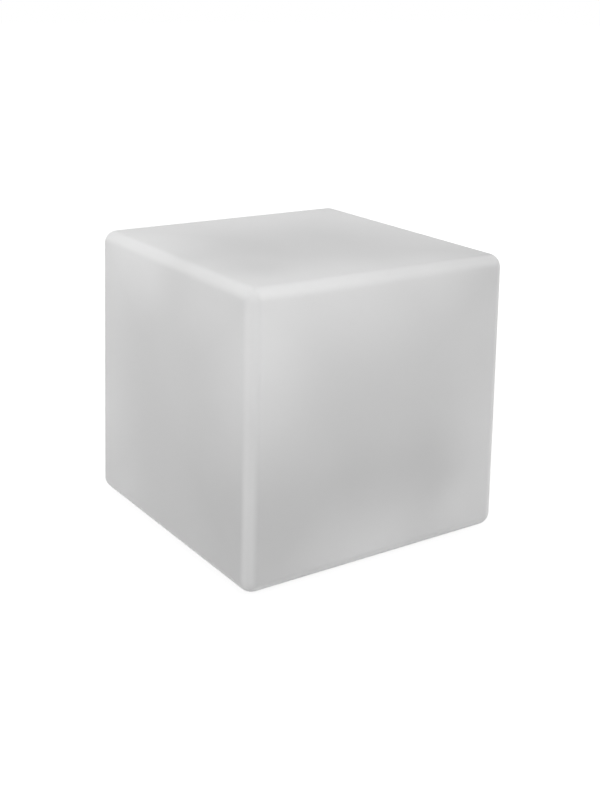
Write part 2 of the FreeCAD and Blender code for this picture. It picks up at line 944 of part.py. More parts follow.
def control_board():
    low = control_low - past
    high = control_top + past
    board = slab(control_size[0], control_size[1], 2.0, control_low, control_top, control_middle)
    return board.cut([disc(tapping_clearance, low, high, place) for place in board_corners()])


def board_screws():
    return group([
        pan_screw(place, control_top, board_screw_length, tapping_radius, small_head)
        for place in board_corners()
    ])


# size across, along and up, and place on the board, of each flat chip
chip_list = (
    (9.9, 6.0, 1.6, -6.0, -2.0),
    (5.0, 6.2, 1.5, 9.0, -4.0),
    (1.6, 3.0, 1.1, -6.0, 10.0),
    (1.6, 3.0, 1.1, -2.0, 10.0),
    (1.6, 3.0, 1.1, 2.0, 10.0),
    (1.6, 3.0, 1.1, 6.0, 10.0),
)


def control_chips():
    """Controller, charger and the switching transistors of the LED channels."""
    chips = []
    for size_x, size_y, height, x, y in chip_list:
        chips.append(block(size_x, size_y, control_top, control_top + height, on_board(x, y)))
    return group(chips)


coil_flange = (5.0, 1.2)    # radius and thickness
coil_core = 4.2
coil_height = 5.4
coil_place = (6.5, -13.5)


def power_coil():
    """Drum coil of the charging converter."""
    radius, thickness = coil_flange
    low = control_top
    high = low + coil_height
    return turned([
        (0, low, 0),
        (radius, low, 0),
        (radius, low + thickness, 0),
        (coil_core, low + thickness, 0),
        (coil_core, high - thickness, 0),
        (radius, high - thickness, 0),
        (radius, high, 0),
        (0, high, 0),
    ], on_board(*coil_place))


capacitor_radius = 4.0
capacitor_height = 10.0
capacitor_groove = 0.4
capacitor_places = ((-12.0, -13.5), (-2.5, -13.5))


def capacitors():
    """Upright round capacitors with the rolled groove near their foot."""
    cans = []
    low = control_top
    for x, y in capacitor_places:
        cans.append(turned([
            (0, low, 0),
            (capacitor_radius, low, 0),
            (capacitor_radius, low + 1.0, 0),
            (capacitor_radius - capacitor_groove, low + 1.5, 0),
            (capacitor_radius, low + 2.0, 0),
            (capacitor_radius, low + capacitor_height, 0),
            (0, low + capacitor_height, 0),
        ], on_board(x, y)))
    return group(cans)


# place on the board and size of each plug socket
lead_header = (4.6, 6.6)
header_places = {
    "battery": (15.6, 8.0, *lead_header),
    "socket": (15.6, -2.0, *lead_header),
    "switch": (-15.6, -2.0, *lead_header),
    "light": (0.0, ribbon_y - control_middle[1], *ribbon_header),
}


def board_headers():
    """Plug sockets for the leads, open at the top."""
    headers = []
    for x, y, size_x, size_y in header_places.values():
        headers.append(open_header(size_x, size_y, control_top, header_height, on_board(x, y)))
    return group(headers)


def charge_light():
    """Small LED under the board, over the light pipe."""
    return block(2.0, 1.2, control_low - 0.8, control_low, pipe_place)


# ---------------------------------------------------------------- switch

collar_radius = button_radius + 0.6
collar_height = 2.2
running = 0.06              # round a sliding part
rest_gap = 0.05             # between parts that only just don't touch
lip = 1.2
stem_radius = 2.0
stem_reach = 2.0            # of the stem past the spring, into its own bore
spring_room_top = floor_top + 8.0
stem_room_top = spring_room_top + stem_reach + button_travel + 2.0
rear_top = floor_top + switch_rear
rear_step = 1.0
rear_height = 4.0
terminal_size = (0.5, 2.0, 4.0)
terminal_reach = 2.5        # from the switch's middle to each terminal
collar_seat = switch_low + lip + rest_gap
collar_top = collar_seat + collar_height
switch_nut_size = 16.0


def switch_body():
    """Bezel, threaded barrel and rear of the push switch, bored for its button, spring and stem."""
    bezel_top = switch_low + bezel_thickness
    return turned([
        (button_radius + running, switch_low, 0),
        (switch_bezel, switch_low, 0.8),
        (switch_bezel, bezel_top, 0),
        (switch_barrel, bezel_top, 0),
        (switch_barrel, rear_top, 0),
        (switch_barrel - rear_step, rear_top, 0),
        (switch_barrel - rear_step, rear_top + rear_height, 0),
        (0, rear_top + rear_height, 0),
        (0, stem_room_top, 0),
        (stem_radius + running, stem_room_top, 0),
        (stem_radius + running, spring_room_top, 0),
        (collar_radius + running, spring_room_top, 0),
        (collar_radius + running, switch_low + lip, 0),
        (button_radius + running, switch_low + lip, 0),
    ], switch_place)


def switch_seal():
    low = panel_low - switch_seal_thickness
    return ring(switch_bezel - 0.6, switch_barrel + slip, low, panel_low, switch_place)


def switch_nut():
    nut = hexagon(switch_nut_size, floor_top, floor_top + nut_thickness, switch_place)
    hole = disc(switch_barrel + slip / 2, floor_top - past, floor_top + nut_thickness + past, switch_place)
    return nut.cut(hole)


def power_button():
    """Domed button with its collar and stem in one piece."""
    tip = switch_low - button_stand
    end = spring_room_top + stem_reach
    return turned([
        (0, tip, 0),
        (button_radius, tip, 1.2),
        (button_radius, collar_seat, 0),
        (collar_radius, collar_seat, 0),
        (collar_radius, collar_top, 0),
        (stem_radius, collar_top, 0),
        (stem_radius, end, 0),
        (0, end, 0),
    ], switch_place)


def coil_point(radius, low, pitch, turns):
    """Point and direction on a coil after a number of turns."""
    angle = 2 * math.pi * turns
    point = V(radius * math.cos(angle), radius * math.sin(angle), low + pitch * turns)
    heading = V(-math.sin(angle) * radius, math.cos(angle) * radius, pitch / (2 * math.pi))
    return point, heading.normalize()


def joined_arcs(start, start_heading, end, end_heading):
    """Two arcs that meet smoothly and keep both end directions."""
    across = end - start
    both = start_heading + end_heading
    a = 2 * (1 - start_heading.dot(end_heading))
    b = across.dot(both)
    c = across.dot(across)
    reach = (-b + math.sqrt(b * b + a * c)) / a
    near = start + start_heading * reach
    far = end - end_heading * reach
    join = (near + far) * 0.5
    arcs = []
    for first, corner, last in ((start, near, join), (join, far, end)):
        chord = last - first
        half = chord.Length / 2
        rise = corner - (first + last) * 0.5
        bend = math.atan2(rise.Length, half)
        middle = (first + last) * 0.5 + rise.normalize() * (half * math.tan(bend / 2))
        arcs.append(Part.Arc(first, middle, last).toShape())
    return arcs


def button_spring():
    """Compression spring round the stem, wound as one open coil."""
    low = collar_top + spring_wire / 2 + rest_gap
    high = spring_room_top - spring_wire / 2 - rest_gap
    pitch = (high - low) / spring_turns
    radius = (stem_radius + collar_radius) / 2
    edges = []
    for step in range(4 * spring_turns):
        start, start_heading = coil_point(radius, low, pitch, step / 4)
        end, end_heading = coil_point(radius, low, pitch, (step + 1) / 4)
        edges.extend(joined_arcs(start, start_heading, end, end_heading))
    start, heading = coil_point(radius, low, pitch, 0)
    section = Part.Wire(Part.Circle(start, heading, spring_wire / 2).toShape())
    coil = Part.Wire(edges).makePipeShell([section], True, False)
    coil.translate(V(switch_place[0], switch_place[1], 0))
    return coil


def upright_tags(middle, reach, low):
    """Two flat metal tags, one each side of a middle."""
    size_x, size_y, height = terminal_size
    return group([
        block(size_x, size_y, low, low + height, (middle[0] + side * reach, middle[1]))
        for side in (-1, 1)
    ])


def switch_terminals():
    return upright_tags(switch_place, terminal_reach, rear_top + rear_height)


# ---------------------------------------------------------------- charging socket and cover

socket_end = socket_low + socket_depth
socket_top = socket_end + 4.0
socket_nut_size = 14.0
tag_reach = 2.0
cover_margin = 0.5          # how far the cover stands past the square frame
cover_rounding = 3.0
finger_tab = (14.0, 8.0)
pad_button = 6.5


def charge_socket():
    """Round panel socket: bezel, threaded barrel and a blind bore for the charger's plug."""
    bezel_top = panel_low - seal_thickness
    return turned([
        (socket_bore, socket_low, 0),
        (socket_bezel, socket_low, 0.6),
        (socket_bezel, bezel_top, 0),
        (socket_barrel, bezel_top, 0),
        (socket_barrel, socket_top, 0),
        (0, socket_top, 0),
        (0, socket_end, 0),
        (socket_bore, socket_end, 0),
    ], socket_place)


def socket_pin():
    """Centre contact, standing from the closed end of the bore."""
    tip = socket_low + 1.4
    return turned([
        (0, tip, 0),
        (socket_pin_radius, tip, 0.6),
        (socket_pin_radius, socket_end, 0),
        (0, socket_end, 0),
    ], socket_place)


def socket_seal():
    low = panel_low - seal_thickness
    return ring(socket_bezel - 0.5, socket_barrel + slip, low, panel_low, socket_place)


def socket_nut():
    nut = hexagon(socket_nut_size, floor_top, floor_top + nut_thickness, socket_place)
    hole = disc(socket_barrel + slip / 2, floor_top - past, floor_top + nut_thickness + past, socket_place)
    return nut.cut(hole)


def socket_tags():
    return upright_tags(socket_place, tag_reach, socket_top)


def port_cover():
    """Hinged flap with rounded corners, a finger tab and one knuckle."""
    x = socket_place[0]
    near = hinge_y - knuckle_radius - 0.6
    far = socket_place[1] - land_size / 2 - 2 * cover_margin
    low = cover_top - cover_thickness
    middle = (x, (near + far) / 2)
    plate = slab(land_size + 2 * cover_margin, near - far, cover_rounding, low, cover_top, middle)
    tab = slab(finger_tab[0], finger_tab[1], 2.0, low, cover_top, (x, far + cover_margin))
    neck_middle = (x, hinge_y - knuckle_radius / 2 - 1.0)
    neck = block(knuckle_width, knuckle_radius + 2.0, low, cover_top, neck_middle)
    start = V(x - knuckle_width / 2, hinge_y, hinge_z)
    knuckle = Part.makeCylinder(knuckle_radius, knuckle_width, start, V(1, 0, 0))
    bore_start = V(x - knuckle_width, hinge_y, hinge_z)
    bore = Part.makeCylinder(hinge_pin_radius + hinge_clearance, 2 * knuckle_width, bore_start, V(1, 0, 0))
    return plate.fuse([tab, neck, knuckle]).removeSplitter().cut(bore)


def port_cover_seal():
    """Soft pad on the cover: it closes on the square frame, and its round button on the bezel."""
    near = hinge_y - knuckle_radius - 1.0
    far = socket_place[1] - land_size / 2
    middle = (socket_place[0], (near + far) / 2)
    pad = slab(land_size, near - far, cover_rounding - cover_margin, cover_top, pad_top, middle)
    button = disc(pad_button, pad_top - bury, socket_low - cover_gap, socket_place)
    return pad.fuse(button).removeSplitter()


def hinge_pin():
    start = V(socket_place[0] - hinge_length / 2, hinge_y, hinge_z)
    return Part.makeCylinder(hinge_pin_radius, hinge_length, start, V(1, 0, 0))


# ---------------------------------------------------------------- leads


def lead_path(points, bend):
    """Straight runs joined by tangent arcs of one bend radius."""
    edges = []
    last = points[0]
    for index in range(1, len(points) - 1):
        here = points[index]
        back = (points[index - 1] - here).normalize()
        onward = (points[index + 1] - here).normalize()
        half = back.getAngle(onward) / 2
        reach = bend / math.tan(half)
        arrive = here + back * reach
        leave = here + onward * reach
        inward = (back + onward).normalize()
        middle = here + inward * (bend / math.sin(half) - bend)
        if last.distanceToPoint(arrive) > 1e-6:
            edges.append(Part.LineSegment(last, arrive).toShape())
        edges.append(Part.Arc(arrive, middle, leave).toShape())
        last = leave
    edges.append(Part.LineSegment(last, points[-1]).toShape())
    return Part.Wire(edges)


def lead(points):
    """Round lead along a path."""
    path = lead_path(points, lead_bend)
    heading = (points[1] - points[0]).normalize()
    section = Part.Wire(Part.Circle(points[0], heading, lead_radius).toShape())
    return path.makePipeShell([section], True, False)


way_reach = 1.4             # from a header's middle to each of its two ways
lead_rise = 13.0            # height of the socket's leads over the board


def header_mouth(name, side):
    """Where a lead enters a header, one of its two ways."""
    x, y = header_places[name][:2]
    place = on_board(x, y + side * way_reach)
    return V(place[0], place[1], control_top + header_floor)


def bridged(start, end, rise):
    """Lead that goes straight up, across and straight down."""
    return lead([start, V(start.x, start.y, rise), V(end.x, end.y, rise), end])


def lead_pair(side):
    """The battery, socket and switch leads of one colour: side -1 is red, +1 is black."""
    over = control_top + lead_rise
    board_x = protection_x + protection_size[0] / 2
    board_edge = V(board_x, tray_middle_y - 10.0 + side * 2.4, protection_top)
    tag = V(socket_place[0] + side * tag_reach, socket_place[1], socket_top + terminal_size[2])
    terminal_top = rear_top + rear_height + terminal_size[2]
    terminal = V(switch_place[0] + side * terminal_reach, switch_place[1], terminal_top)
    return group([
        bridged(board_edge, header_mouth("battery", side), over + 4.0 - 1.5 * side),
        bridged(tag, header_mouth("socket", side), over + side),
        bridged(terminal, header_mouth("switch", side), terminal_top + 5.0 - side),
    ])


def led_ribbon():
    """Flat lead from the control board, up through the plate and over into the LED board's header."""
    start_z = control_top + header_floor
    end_z = led_board_top + header_floor
    bend = (led_header_y - ribbon_y) / 2
    top = led_board_top + 6.0
    middle = V(0, ribbon_y + bend, top + bend)
    path = Part.Wire([
        Part.LineSegment(V(0, ribbon_y, start_z), V(0, ribbon_y, top)).toShape(),
        Part.Arc(V(0, ribbon_y, top), middle, V(0, led_header_y, top)).toShape(),
        Part.LineSegment(V(0, led_header_y, top), V(0, led_header_y, end_z)).toShape(),
    ])
    half_x = ribbon_size[0] / 2
    half_y = ribbon_size[1] / 2
    corners = [
        V(-half_x, ribbon_y - half_y, start_z),
        V(half_x, ribbon_y - half_y, start_z),
        V(half_x, ribbon_y + half_y, start_z),
        V(-half_x, ribbon_y + half_y, start_z),
    ]
    section = Part.makePolygon(corners + corners[:1])
    return path.makePipeShell([section], True, True)


# ---------------------------------------------------------------- all the pieces

pieces = {
    "cube_shell": cube_shell,
    "module_inserts": module_inserts,
    "foot_inserts": foot_inserts,
    "rubber_feet": rubber_feet,
    "foot_washers": foot_washers,
    "foot_screws": foot_screws,
    "flange_gasket": flange_gasket,
    "module_base": module_base,
    "switch_guard": switch_guard,
    "port_frame": port_frame,
    "module_screws": module_screws,
    "screw_seals": screw_seals,
    "dome_seal": dome_seal,
    "diffuser_dome": diffuser_dome,
    "dome_screws": dome_screws,
    "vent_body": vent_body,
    "vent_membrane": vent_membrane,
    "vent_nut": vent_nut,
    "light_pipe": light_pipe,
    "heat_plate": heat_plate,
    "heat_plate_screws": heat_plate_screws,
    "led_board": led_board,
    "leds": leds,
    "led_board_screws": led_board_screws,
    "ir_receiver": ir_receiver,
    "led_header": led_header,
    "battery_tray": battery_tray,
    "battery_cells": battery_cells,
    "cell_links": cell_links,
    "protection_board": protection_board,
    "protection_chips": protection_chips,
    "battery_clamp": battery_clamp,
    "clamp_screws": clamp_screws,
    "control_board": control_board,
    "board_screws": board_screws,
    "control_chips": control_chips,
    "power_coil": power_coil,
    "capacitors": capacitors,
    "board_headers": board_headers,
    "charge_light": charge_light,
    "switch_body": switch_body,
    "switch_seal": switch_seal,
    "switch_nut": switch_nut,
    "power_button": power_button,
    "button_spring": button_spring,
    "switch_terminals": switch_terminals,
    "charge_socket": charge_socket,
    "socket_pin": socket_pin,
    "socket_seal": socket_seal,
    "socket_nut": socket_nut,
    "socket_tags": socket_tags,
    "port_cover": port_cover,
    "port_cover_seal": port_cover_seal,
    "hinge_pin": hinge_pin,
    "red_leads": lambda: lead_pair(-1),
    "black_leads": lambda: lead_pair(1),
    "led_ribbon": led_ribbon,
}

os.makedirs("parts", exist_ok=True)
for name, make in pieces.items():
    shape = make()
    print(f"{name}: {len(shape.Solids)} solid(s), {shape.Volume / 1000:.2f} cm3, valid {shape.isValid()}")
    shape.exportStep(f"parts/{name}.step")
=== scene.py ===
import json
import math

import bmesh
import bpy
from mathutils import Matrix, Vector


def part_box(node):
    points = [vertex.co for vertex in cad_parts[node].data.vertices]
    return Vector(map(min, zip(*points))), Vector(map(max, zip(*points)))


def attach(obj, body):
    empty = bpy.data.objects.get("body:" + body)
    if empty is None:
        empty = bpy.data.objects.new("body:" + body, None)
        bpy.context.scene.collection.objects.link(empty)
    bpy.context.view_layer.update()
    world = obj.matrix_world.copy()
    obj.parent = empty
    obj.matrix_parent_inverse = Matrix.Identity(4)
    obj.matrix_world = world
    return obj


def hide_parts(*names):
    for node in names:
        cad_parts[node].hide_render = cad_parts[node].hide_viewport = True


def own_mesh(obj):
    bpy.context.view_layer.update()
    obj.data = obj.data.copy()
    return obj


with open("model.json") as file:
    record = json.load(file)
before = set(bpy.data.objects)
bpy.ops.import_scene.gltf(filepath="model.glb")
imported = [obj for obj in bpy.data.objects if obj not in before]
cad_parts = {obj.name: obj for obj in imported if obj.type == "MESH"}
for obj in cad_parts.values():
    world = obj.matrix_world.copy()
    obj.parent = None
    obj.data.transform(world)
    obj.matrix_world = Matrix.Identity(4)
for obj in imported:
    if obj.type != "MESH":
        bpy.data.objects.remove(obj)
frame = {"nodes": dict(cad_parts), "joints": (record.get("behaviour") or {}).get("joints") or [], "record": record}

bl_info = {
    "name": "Cube light",
    "version": (1, 0, 0),
    "blender": (4, 5, 0),
    "location": "3D View > Sidebar > Cube light",
    "description": "Finishes a white moulded cube light and sets up its studio",
    "category": "Object",
}

# The cube stands on its feet at the middle of the ground, front towards -Y. Metres throughout.

SHELL_LOW, SHELL_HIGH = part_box("cube_shell")
SLOT_OF = {entry["node"]: entry["material_slot"] for entry in frame["record"]["subparts"]}


# ---- settings


def length(name, about, default, low, high):
    return bpy.props.FloatProperty(
        name=name, description=about, default=default, min=low, max=high, unit="LENGTH", subtype="DISTANCE")


def angle(name, about, degrees, low=-180.0, high=180.0):
    return bpy.props.FloatProperty(
        name=name, description=about, default=math.radians(degrees), min=math.radians(low),
        max=math.radians(high), subtype="ANGLE")


def count(name, about, default, low, high):
    return bpy.props.IntProperty(name=name, description=about, default=default, min=low, max=high)


def grey(name, about, level):
    return bpy.props.FloatVectorProperty(
        name=name, description=about, default=(level, level, level), min=0.0, max=1.0, size=3, subtype="COLOR")


def power(name, about, watts):
    return bpy.props.FloatProperty(
        name=name, description=about, default=watts, min=0.0, max=400.0, unit="POWER")


class ShellSettings(bpy.types.PropertyGroup):
    """The moulded cube."""

    colour: grey("Plastic", "Colour of the milky plastic", 0.74)
    # The edge colour is a painted highlight: the plastic is made lighter along edges and corners, where the
    # rounding catches the light.
    painted_edge_colour: grey("Edges", "Colour where the plastic is thickest, along edges and corners", 0.90)
    edge_radius: length("Edge radius", "Radius of the cube's edges", 0.018, 0.0, 0.05)
    wall: length("Wall", "Thickness of the plastic", 0.004, 0.001, 0.01)
    lean: angle("Lean", "Lean of each side, so that the cube leaves its mould", 0.9, 0.0, 5.0)
    sink: length("Sink", "How far the middle of each face has drawn in as it cooled", 0.0016, 0.0, 0.006)
    grid: length("Grid", "Spacing of the loops across the faces", 0.02, 0.008, 0.1)


class HardwareSettings(bpy.types.PropertyGroup):
    """Screws, inserts, feet and the finger tab."""

    pitch: length("Machine pitch", "Thread pitch of the machine screws", 0.0007, 0.0003, 0.002)
    tapping_pitch: length(
        "Tapping pitch", "Thread pitch of the screws that cut into plastic", 0.0011, 0.0003, 0.002)
    thread_depth: bpy.props.FloatProperty(
        name="Thread depth", description="Height of a thread as a share of its pitch",
        default=0.6, min=0.2, max=0.9, subtype="FACTOR")
    knurl_teeth: count("Knurl teeth", "Teeth round each brass insert", 20, 6, 40)
    knurl_tooth: length("Knurl tooth", "How far a tooth stands out of the insert", 0.00028, 0.0, 0.001)
    foot_grooves: count("Foot grooves", "Grip grooves in the sole of each foot", 3, 0, 5)
    groove_depth: length("Groove depth", "Depth of each grip groove", 0.0006, 0.0, 0.001)
    tab_ridges: count("Tab ridges", "Ridges on the finger tab of the socket's cover", 4, 0, 6)


class ElectronicsSettings(bpy.types.PropertyGroup):
    """Small parts on the circuit boards."""

    chip_pitch: length("Chip pitch", "Spacing of the small parts along a row", 0.0026, 0.0015, 0.006)
    chip_length: length("Chip length", "Length of a small part with its two end caps", 0.0014, 0.0004, 0.003)
    coil_turns: count("Coil turns", "Turns of wire that show on the coil", 6, 1, 12)


class StageSettings(bpy.types.PropertyGroup):
    """Floor, lamps and camera."""

    floor_colour: grey("Floor", "Colour of the pale floor", 0.80)
    fill: bpy.props.FloatProperty(
        name="Fill", description="Strength of the even fill light", default=0.255, min=0.0, max=2.0)
    top_lamp: power("Top lamp", "Power of the soft lamp above the cube", 6.5)
    back_lamp: power("Back lamp", "Power of the high lamp behind the cube", 10.4)
    front_lamp: power("Front lamp", "Power of the large lamp in front on the right", 13.3)
    left_lamp: power("Left lamp", "Power of the soft lamp on the cube's left", 2.8)
    corner_lamp: power("Corner lamp", "Power of the small lamp that brightens the near upright edge", 2.1)
    far_lamp: power("Far lamp", "Power of the low lamp that keeps the right and the back from going dark", 9.0)
    azimuth: angle("Azimuth", "Camera's turn round the cube from straight in front", -34.5624)
    elevation: angle("Elevation", "Camera's height above the horizon", 16.7261, -90.0, 90.0)
    roll: angle("Roll", "Camera's turn about its own axis", 1.3196)
    distance: length("Distance", "From the camera to the cube's middle, along the view", 1.684105, 0.5, 10.0)
    lens: bpy.props.FloatProperty(
        name="Lens", description="Focal length of the camera in millimetres",
        default=55.26, min=20.0, max=200.0, unit="CAMERA")


# ---- node helpers

FLOAT = "NodeSocketFloat"
VECTOR = "NodeSocketVector"
COUNT = "NodeSocketInt"
MATERIAL = "NodeSocketMaterial"
GEOMETRY = "NodeSocketGeometry"
WHITE = (1.0, 1.0, 1.0)


def worked(operation):
    """Arithmetic sign that adds a Math node."""
    return lambda first, second: maths(operation, first, second)


class Value:
    """What a node puts out. Arithmetic on it adds the Math nodes that work it out."""

    def __init__(self, socket):
        self.socket = socket
        self.tree = socket.id_data

    def __rsub__(self, other):
        return maths("SUBTRACT", other, self)

    def __abs__(self):
        return maths("ABSOLUTE", self)

    __add__ = worked("ADD")
    __sub__ = worked("SUBTRACT")
    __mul__ = worked("MULTIPLY")
    __truediv__ = worked("DIVIDE")
    __gt__ = worked("GREATER_THAN")
    __lt__ = worked("LESS_THAN")


def wire(target, value):
    """Puts a number, an opaque colour or another node's output into a socket."""
    if isinstance(value, Value):
        target.id_data.links.new(value.socket, target)
    elif value is not None:
        target.default_value = (*value, 1.0) if target.type == "RGBA" else value


def node(tree, kind, inputs=(), **settings):
    """New node with its settings, and its sockets filled by name or in order."""
    made = tree.nodes.new(kind)
    for name, value in settings.items():
        setattr(made, name, value)
    for key, value in inputs.items() if isinstance(inputs, dict) else enumerate(inputs):
        wire(made.inputs[key], value)
    return made


def tree_of(values):
    """Node tree of the first value that comes from a node."""
    return next(value.tree for value in values if isinstance(value, Value))


def maths(operation, *values, clamp=False):
    made = node(tree_of(values), "ShaderNodeMath", values, operation=operation, use_clamp=clamp)
    return Value(made.outputs[0])


def vectors(operation, *values):
    made = node(tree_of(values), "ShaderNodeVectorMath", values, operation=operation)
    return Value(made.outputs["Value" if operation in ("LENGTH", "DISTANCE") else "Vector"])


def remap(value, low, high, to_low=0.0, to_high=1.0, smooth=True):
    """Value from one range to another, held at the ends."""
    ranges = {"Value": value, "From Min": low, "From Max": high, "To Min": to_low, "To Max": to_high}
    made = node(
        value.tree, "ShaderNodeMapRange", ranges, interpolation_type="SMOOTHSTEP" if smooth else "LINEAR")
    return Value(made.outputs["Result"])


def split(vector):
    """The three numbers of a vector."""
    return [Value(socket) for socket in node(vector.tree, "ShaderNodeSeparateXYZ", (vector,)).outputs]


def point(x=0.0, y=0.0, z=0.0):
    """Vector from three numbers, at least one of them a node's."""
    return Value(node(tree_of((x, y, z)), "ShaderNodeCombineXYZ", (x, y, z)).outputs[0])


def noise(vector, scale, detail, roughness):
    given = {"Vector": vector, "Scale": scale, "Detail": detail, "Roughness": roughness}
    return Value(node(vector.tree, "ShaderNodeTexNoise", given).outputs["Fac"])


def blend(factor, first, second):
    """Mix of two colours."""
    made = node(factor.tree, "ShaderNodeMix", (factor,), data_type="RGBA")
    for socket, colour in zip([socket for socket in made.inputs if socket.type == "RGBA"], (first, second)):
        wire(socket, colour)
    return Value(next(socket for socket in made.outputs if socket.type == "RGBA"))


def shade(colour, amount):
    """Colour made lighter or darker by a factor."""
    made = node(amount.tree, "ShaderNodeVectorMath", {0: colour, "Scale": amount}, operation="SCALE")
    return Value(made.outputs[0])


def outputs_of(made):
    return {socket.name: Value(socket) for socket in made.outputs}


def tree_with(name, kind, inputs, outputs):
    """New node tree with named sockets, some with a default: returns what comes in and what goes out."""
    tree = bpy.data.node_groups.new(name, kind)
    for way, entries in (("INPUT", inputs), ("OUTPUT", outputs)):
        for label, socket_type, *default in entries:
            socket = tree.interface.new_socket(label, in_out=way, socket_type=socket_type)
            if default:
                socket.default_value = default[0]
    return outputs_of(tree.nodes.new("NodeGroupInput")), tree.nodes.new("NodeGroupOutput").inputs


# ---- shared effects


def effect(name, inputs, outputs):
    """New shader group over a vector that puts out numbers."""
    outputs = [(label, FLOAT) for label in outputs]
    return tree_with(name, "ShaderNodeTree", (("Vector", VECTOR), *inputs), outputs)


def use(name, vector, **values):
    """Places an effect group in a material with its own values."""
    if name not in bpy.data.node_groups:
        EFFECTS[name]()
    inputs = {label.replace("_", " ").capitalize(): value for label, value in values.items()}
    made = node(vector.tree, "ShaderNodeGroup", node_tree=bpy.data.node_groups[name])
    for label, value in {"Vector": vector, **inputs}.items():
        wire(made.inputs[label], value)
    return outputs_of(made)


def orange_peel():
    """Fine skin of a moulded part: a height and a slight change of gloss."""
    given, result = effect("orange peel", (
        ("Scale", FLOAT, 300.0), ("Gloss", FLOAT, 0.4), ("Spread", FLOAT, 0.05)), ("Height", "Gloss"))
    fine = noise(given["Vector"], given["Scale"], 2.0, 0.45)
    broad = noise(given["Vector"], given["Scale"] * 0.12, 1.0, 0.5)
    wire(result["Height"], fine + broad * 0.6)
    wire(result["Gloss"], given["Gloss"] + (broad - 0.5) * given["Spread"])


def clouding():
    """Soft uneven tone, as in plastic that flowed and cooled unevenly."""
    given, result = effect("clouding", (("Scale", FLOAT, 6.0), ("Amount", FLOAT, 0.03)), ("Tone",))
    patch = noise(given["Vector"], given["Scale"], 1.5, 0.4)
    wire(result["Tone"], remap(patch, 0.3, 0.7, 1.0 - given["Amount"], given["Amount"] + 1.0))


# The mask below places the painted edge highlight, and its height share places the painted shade towards the foot.
def thick_edges():
    """How near a point of the cube lies to an edge or corner: 0 in a face's middle, 1 from Full outwards."""
    given, result = effect("thick edges", (
        ("Half width", FLOAT, 0.2), ("Middle height", FLOAT, 0.194), ("Half height", FLOAT, 0.19),
        ("Lean", FLOAT, 0.0157), ("Start", FLOAT, 0.9), ("Full", FLOAT, 1.0)), ("Mask", "Height share"))
    x, y, z = split(given["Vector"])
    climb = z - given["Middle height"]
    half = given["Half width"] - (climb + given["Half height"]) * given["Lean"]
    across = abs(x) / half
    along = abs(y) / half
    lift = climb / given["Half height"]
    low = maths("MINIMUM", across, along)
    high = maths("MAXIMUM", across, along)
    second = maths("MAXIMUM", low, maths("MINIMUM", high, abs(lift)))
    wire(result["Mask"], remap(second, given["Start"], given["Full"]))
    wire(result["Height share"], lift)


def wall_patch():
    """Soft round patch of painted light, or of painted shade where its amount is below 0, as a factor on the
    colour.
    """
    given, result = effect("wall patch", (
        ("Middle", VECTOR, (0.0, 0.0, 0.0)), ("Reach", FLOAT, 0.1), ("Amount", FLOAT, 0.05),
        ("Tone", FLOAT, 1.0)), ("Tone",))
    away = vectors("DISTANCE", given["Vector"], given["Middle"])
    gain = remap(away, 0.0, given["Reach"], given["Amount"] + 1.0, 1.0)
    wire(result["Tone"], gain * given["Tone"])


def settled_dust():
    """Thin dust and handling marks: a mask that breaks up over the surface."""
    given, result = effect("settled dust", (("Scale", FLOAT, 40.0), ("Amount", FLOAT, 0.2)), ("Mask",))
    broad = noise(given["Vector"], given["Scale"], 5.0, 0.65)
    fine = noise(given["Vector"], given["Scale"] * 14.0, 2.0, 0.5)
    both = remap(broad, 0.45, 0.7) * remap(fine, 0.35, 0.6)
    wire(result["Mask"], maths("MULTIPLY", both, given["Amount"], clamp=True))


def brushed():
    """Drawn or turned metal: fine streaks along one way, as height, gloss and tone."""
    given, result = effect("brushed", (
        ("Scale", FLOAT, 900.0), ("Stretch", VECTOR, (1.0, 1.0, 0.06)), ("Gloss", FLOAT, 0.3),
        ("Spread", FLOAT, 0.15)), ("Height", "Gloss", "Tone"))
    streak = noise(vectors("MULTIPLY", given["Vector"], given["Stretch"]), given["Scale"], 3.0, 0.6)
    stain = noise(given["Vector"], given["Scale"] * 0.15, 2.0, 0.5)
    wire(result["Height"], streak)
    wire(result["Gloss"], given["Gloss"] + (streak - 0.5) * given["Spread"])
    wire(result["Tone"], remap(stain, 0.3, 0.7, 0.82, 1.0))


EFFECTS = {
    build.__name__.replace("_", " "): build
    for build in (orange_peel, clouding, thick_edges, wall_patch, settled_dust, brushed)}


# ---- finishes


def started(name):
    """New material, its shader's sockets and its object coordinates."""
    made = bpy.data.materials.new(name)
    made.use_nodes = True
    tree = made.node_tree
    return made, tree.nodes["Principled BSDF"].inputs, Value(node(tree, "ShaderNodeTexCoord").outputs["Object"])


def bump(shader, height, distance, strength):
    made = node(height.tree, "ShaderNodeBump", {"Strength": strength, "Distance": distance, "Height": height})
    wire(shader["Normal"], Value(made.outputs["Normal"]))


def peeled(shader, where, scale, gloss, spread, depth, strength, dulled=None):
    """Gives a shader a moulded part's skin: its gloss, duller under a mask, and its fine bumps."""
    skin = use("orange peel", where, scale=scale, gloss=gloss, spread=spread)
    wire(shader["Roughness"], skin["Gloss"] + dulled * 0.4 if dulled else skin["Gloss"])
    bump(shader, skin["Height"], depth, strength)


def clouded(colour, where, scale, amount):
    """Colour with uneven tone."""
    return shade(colour, use("clouding", where, scale=scale, amount=amount)["Tone"])


def scattering(shader, weight, depth):
    """Lets light in under the surface."""
    shader["Subsurface Weight"].default_value = weight
    shader["Subsurface Radius"].default_value = (1.0, 1.0, 1.0)
    shader["Subsurface Scale"].default_value = depth
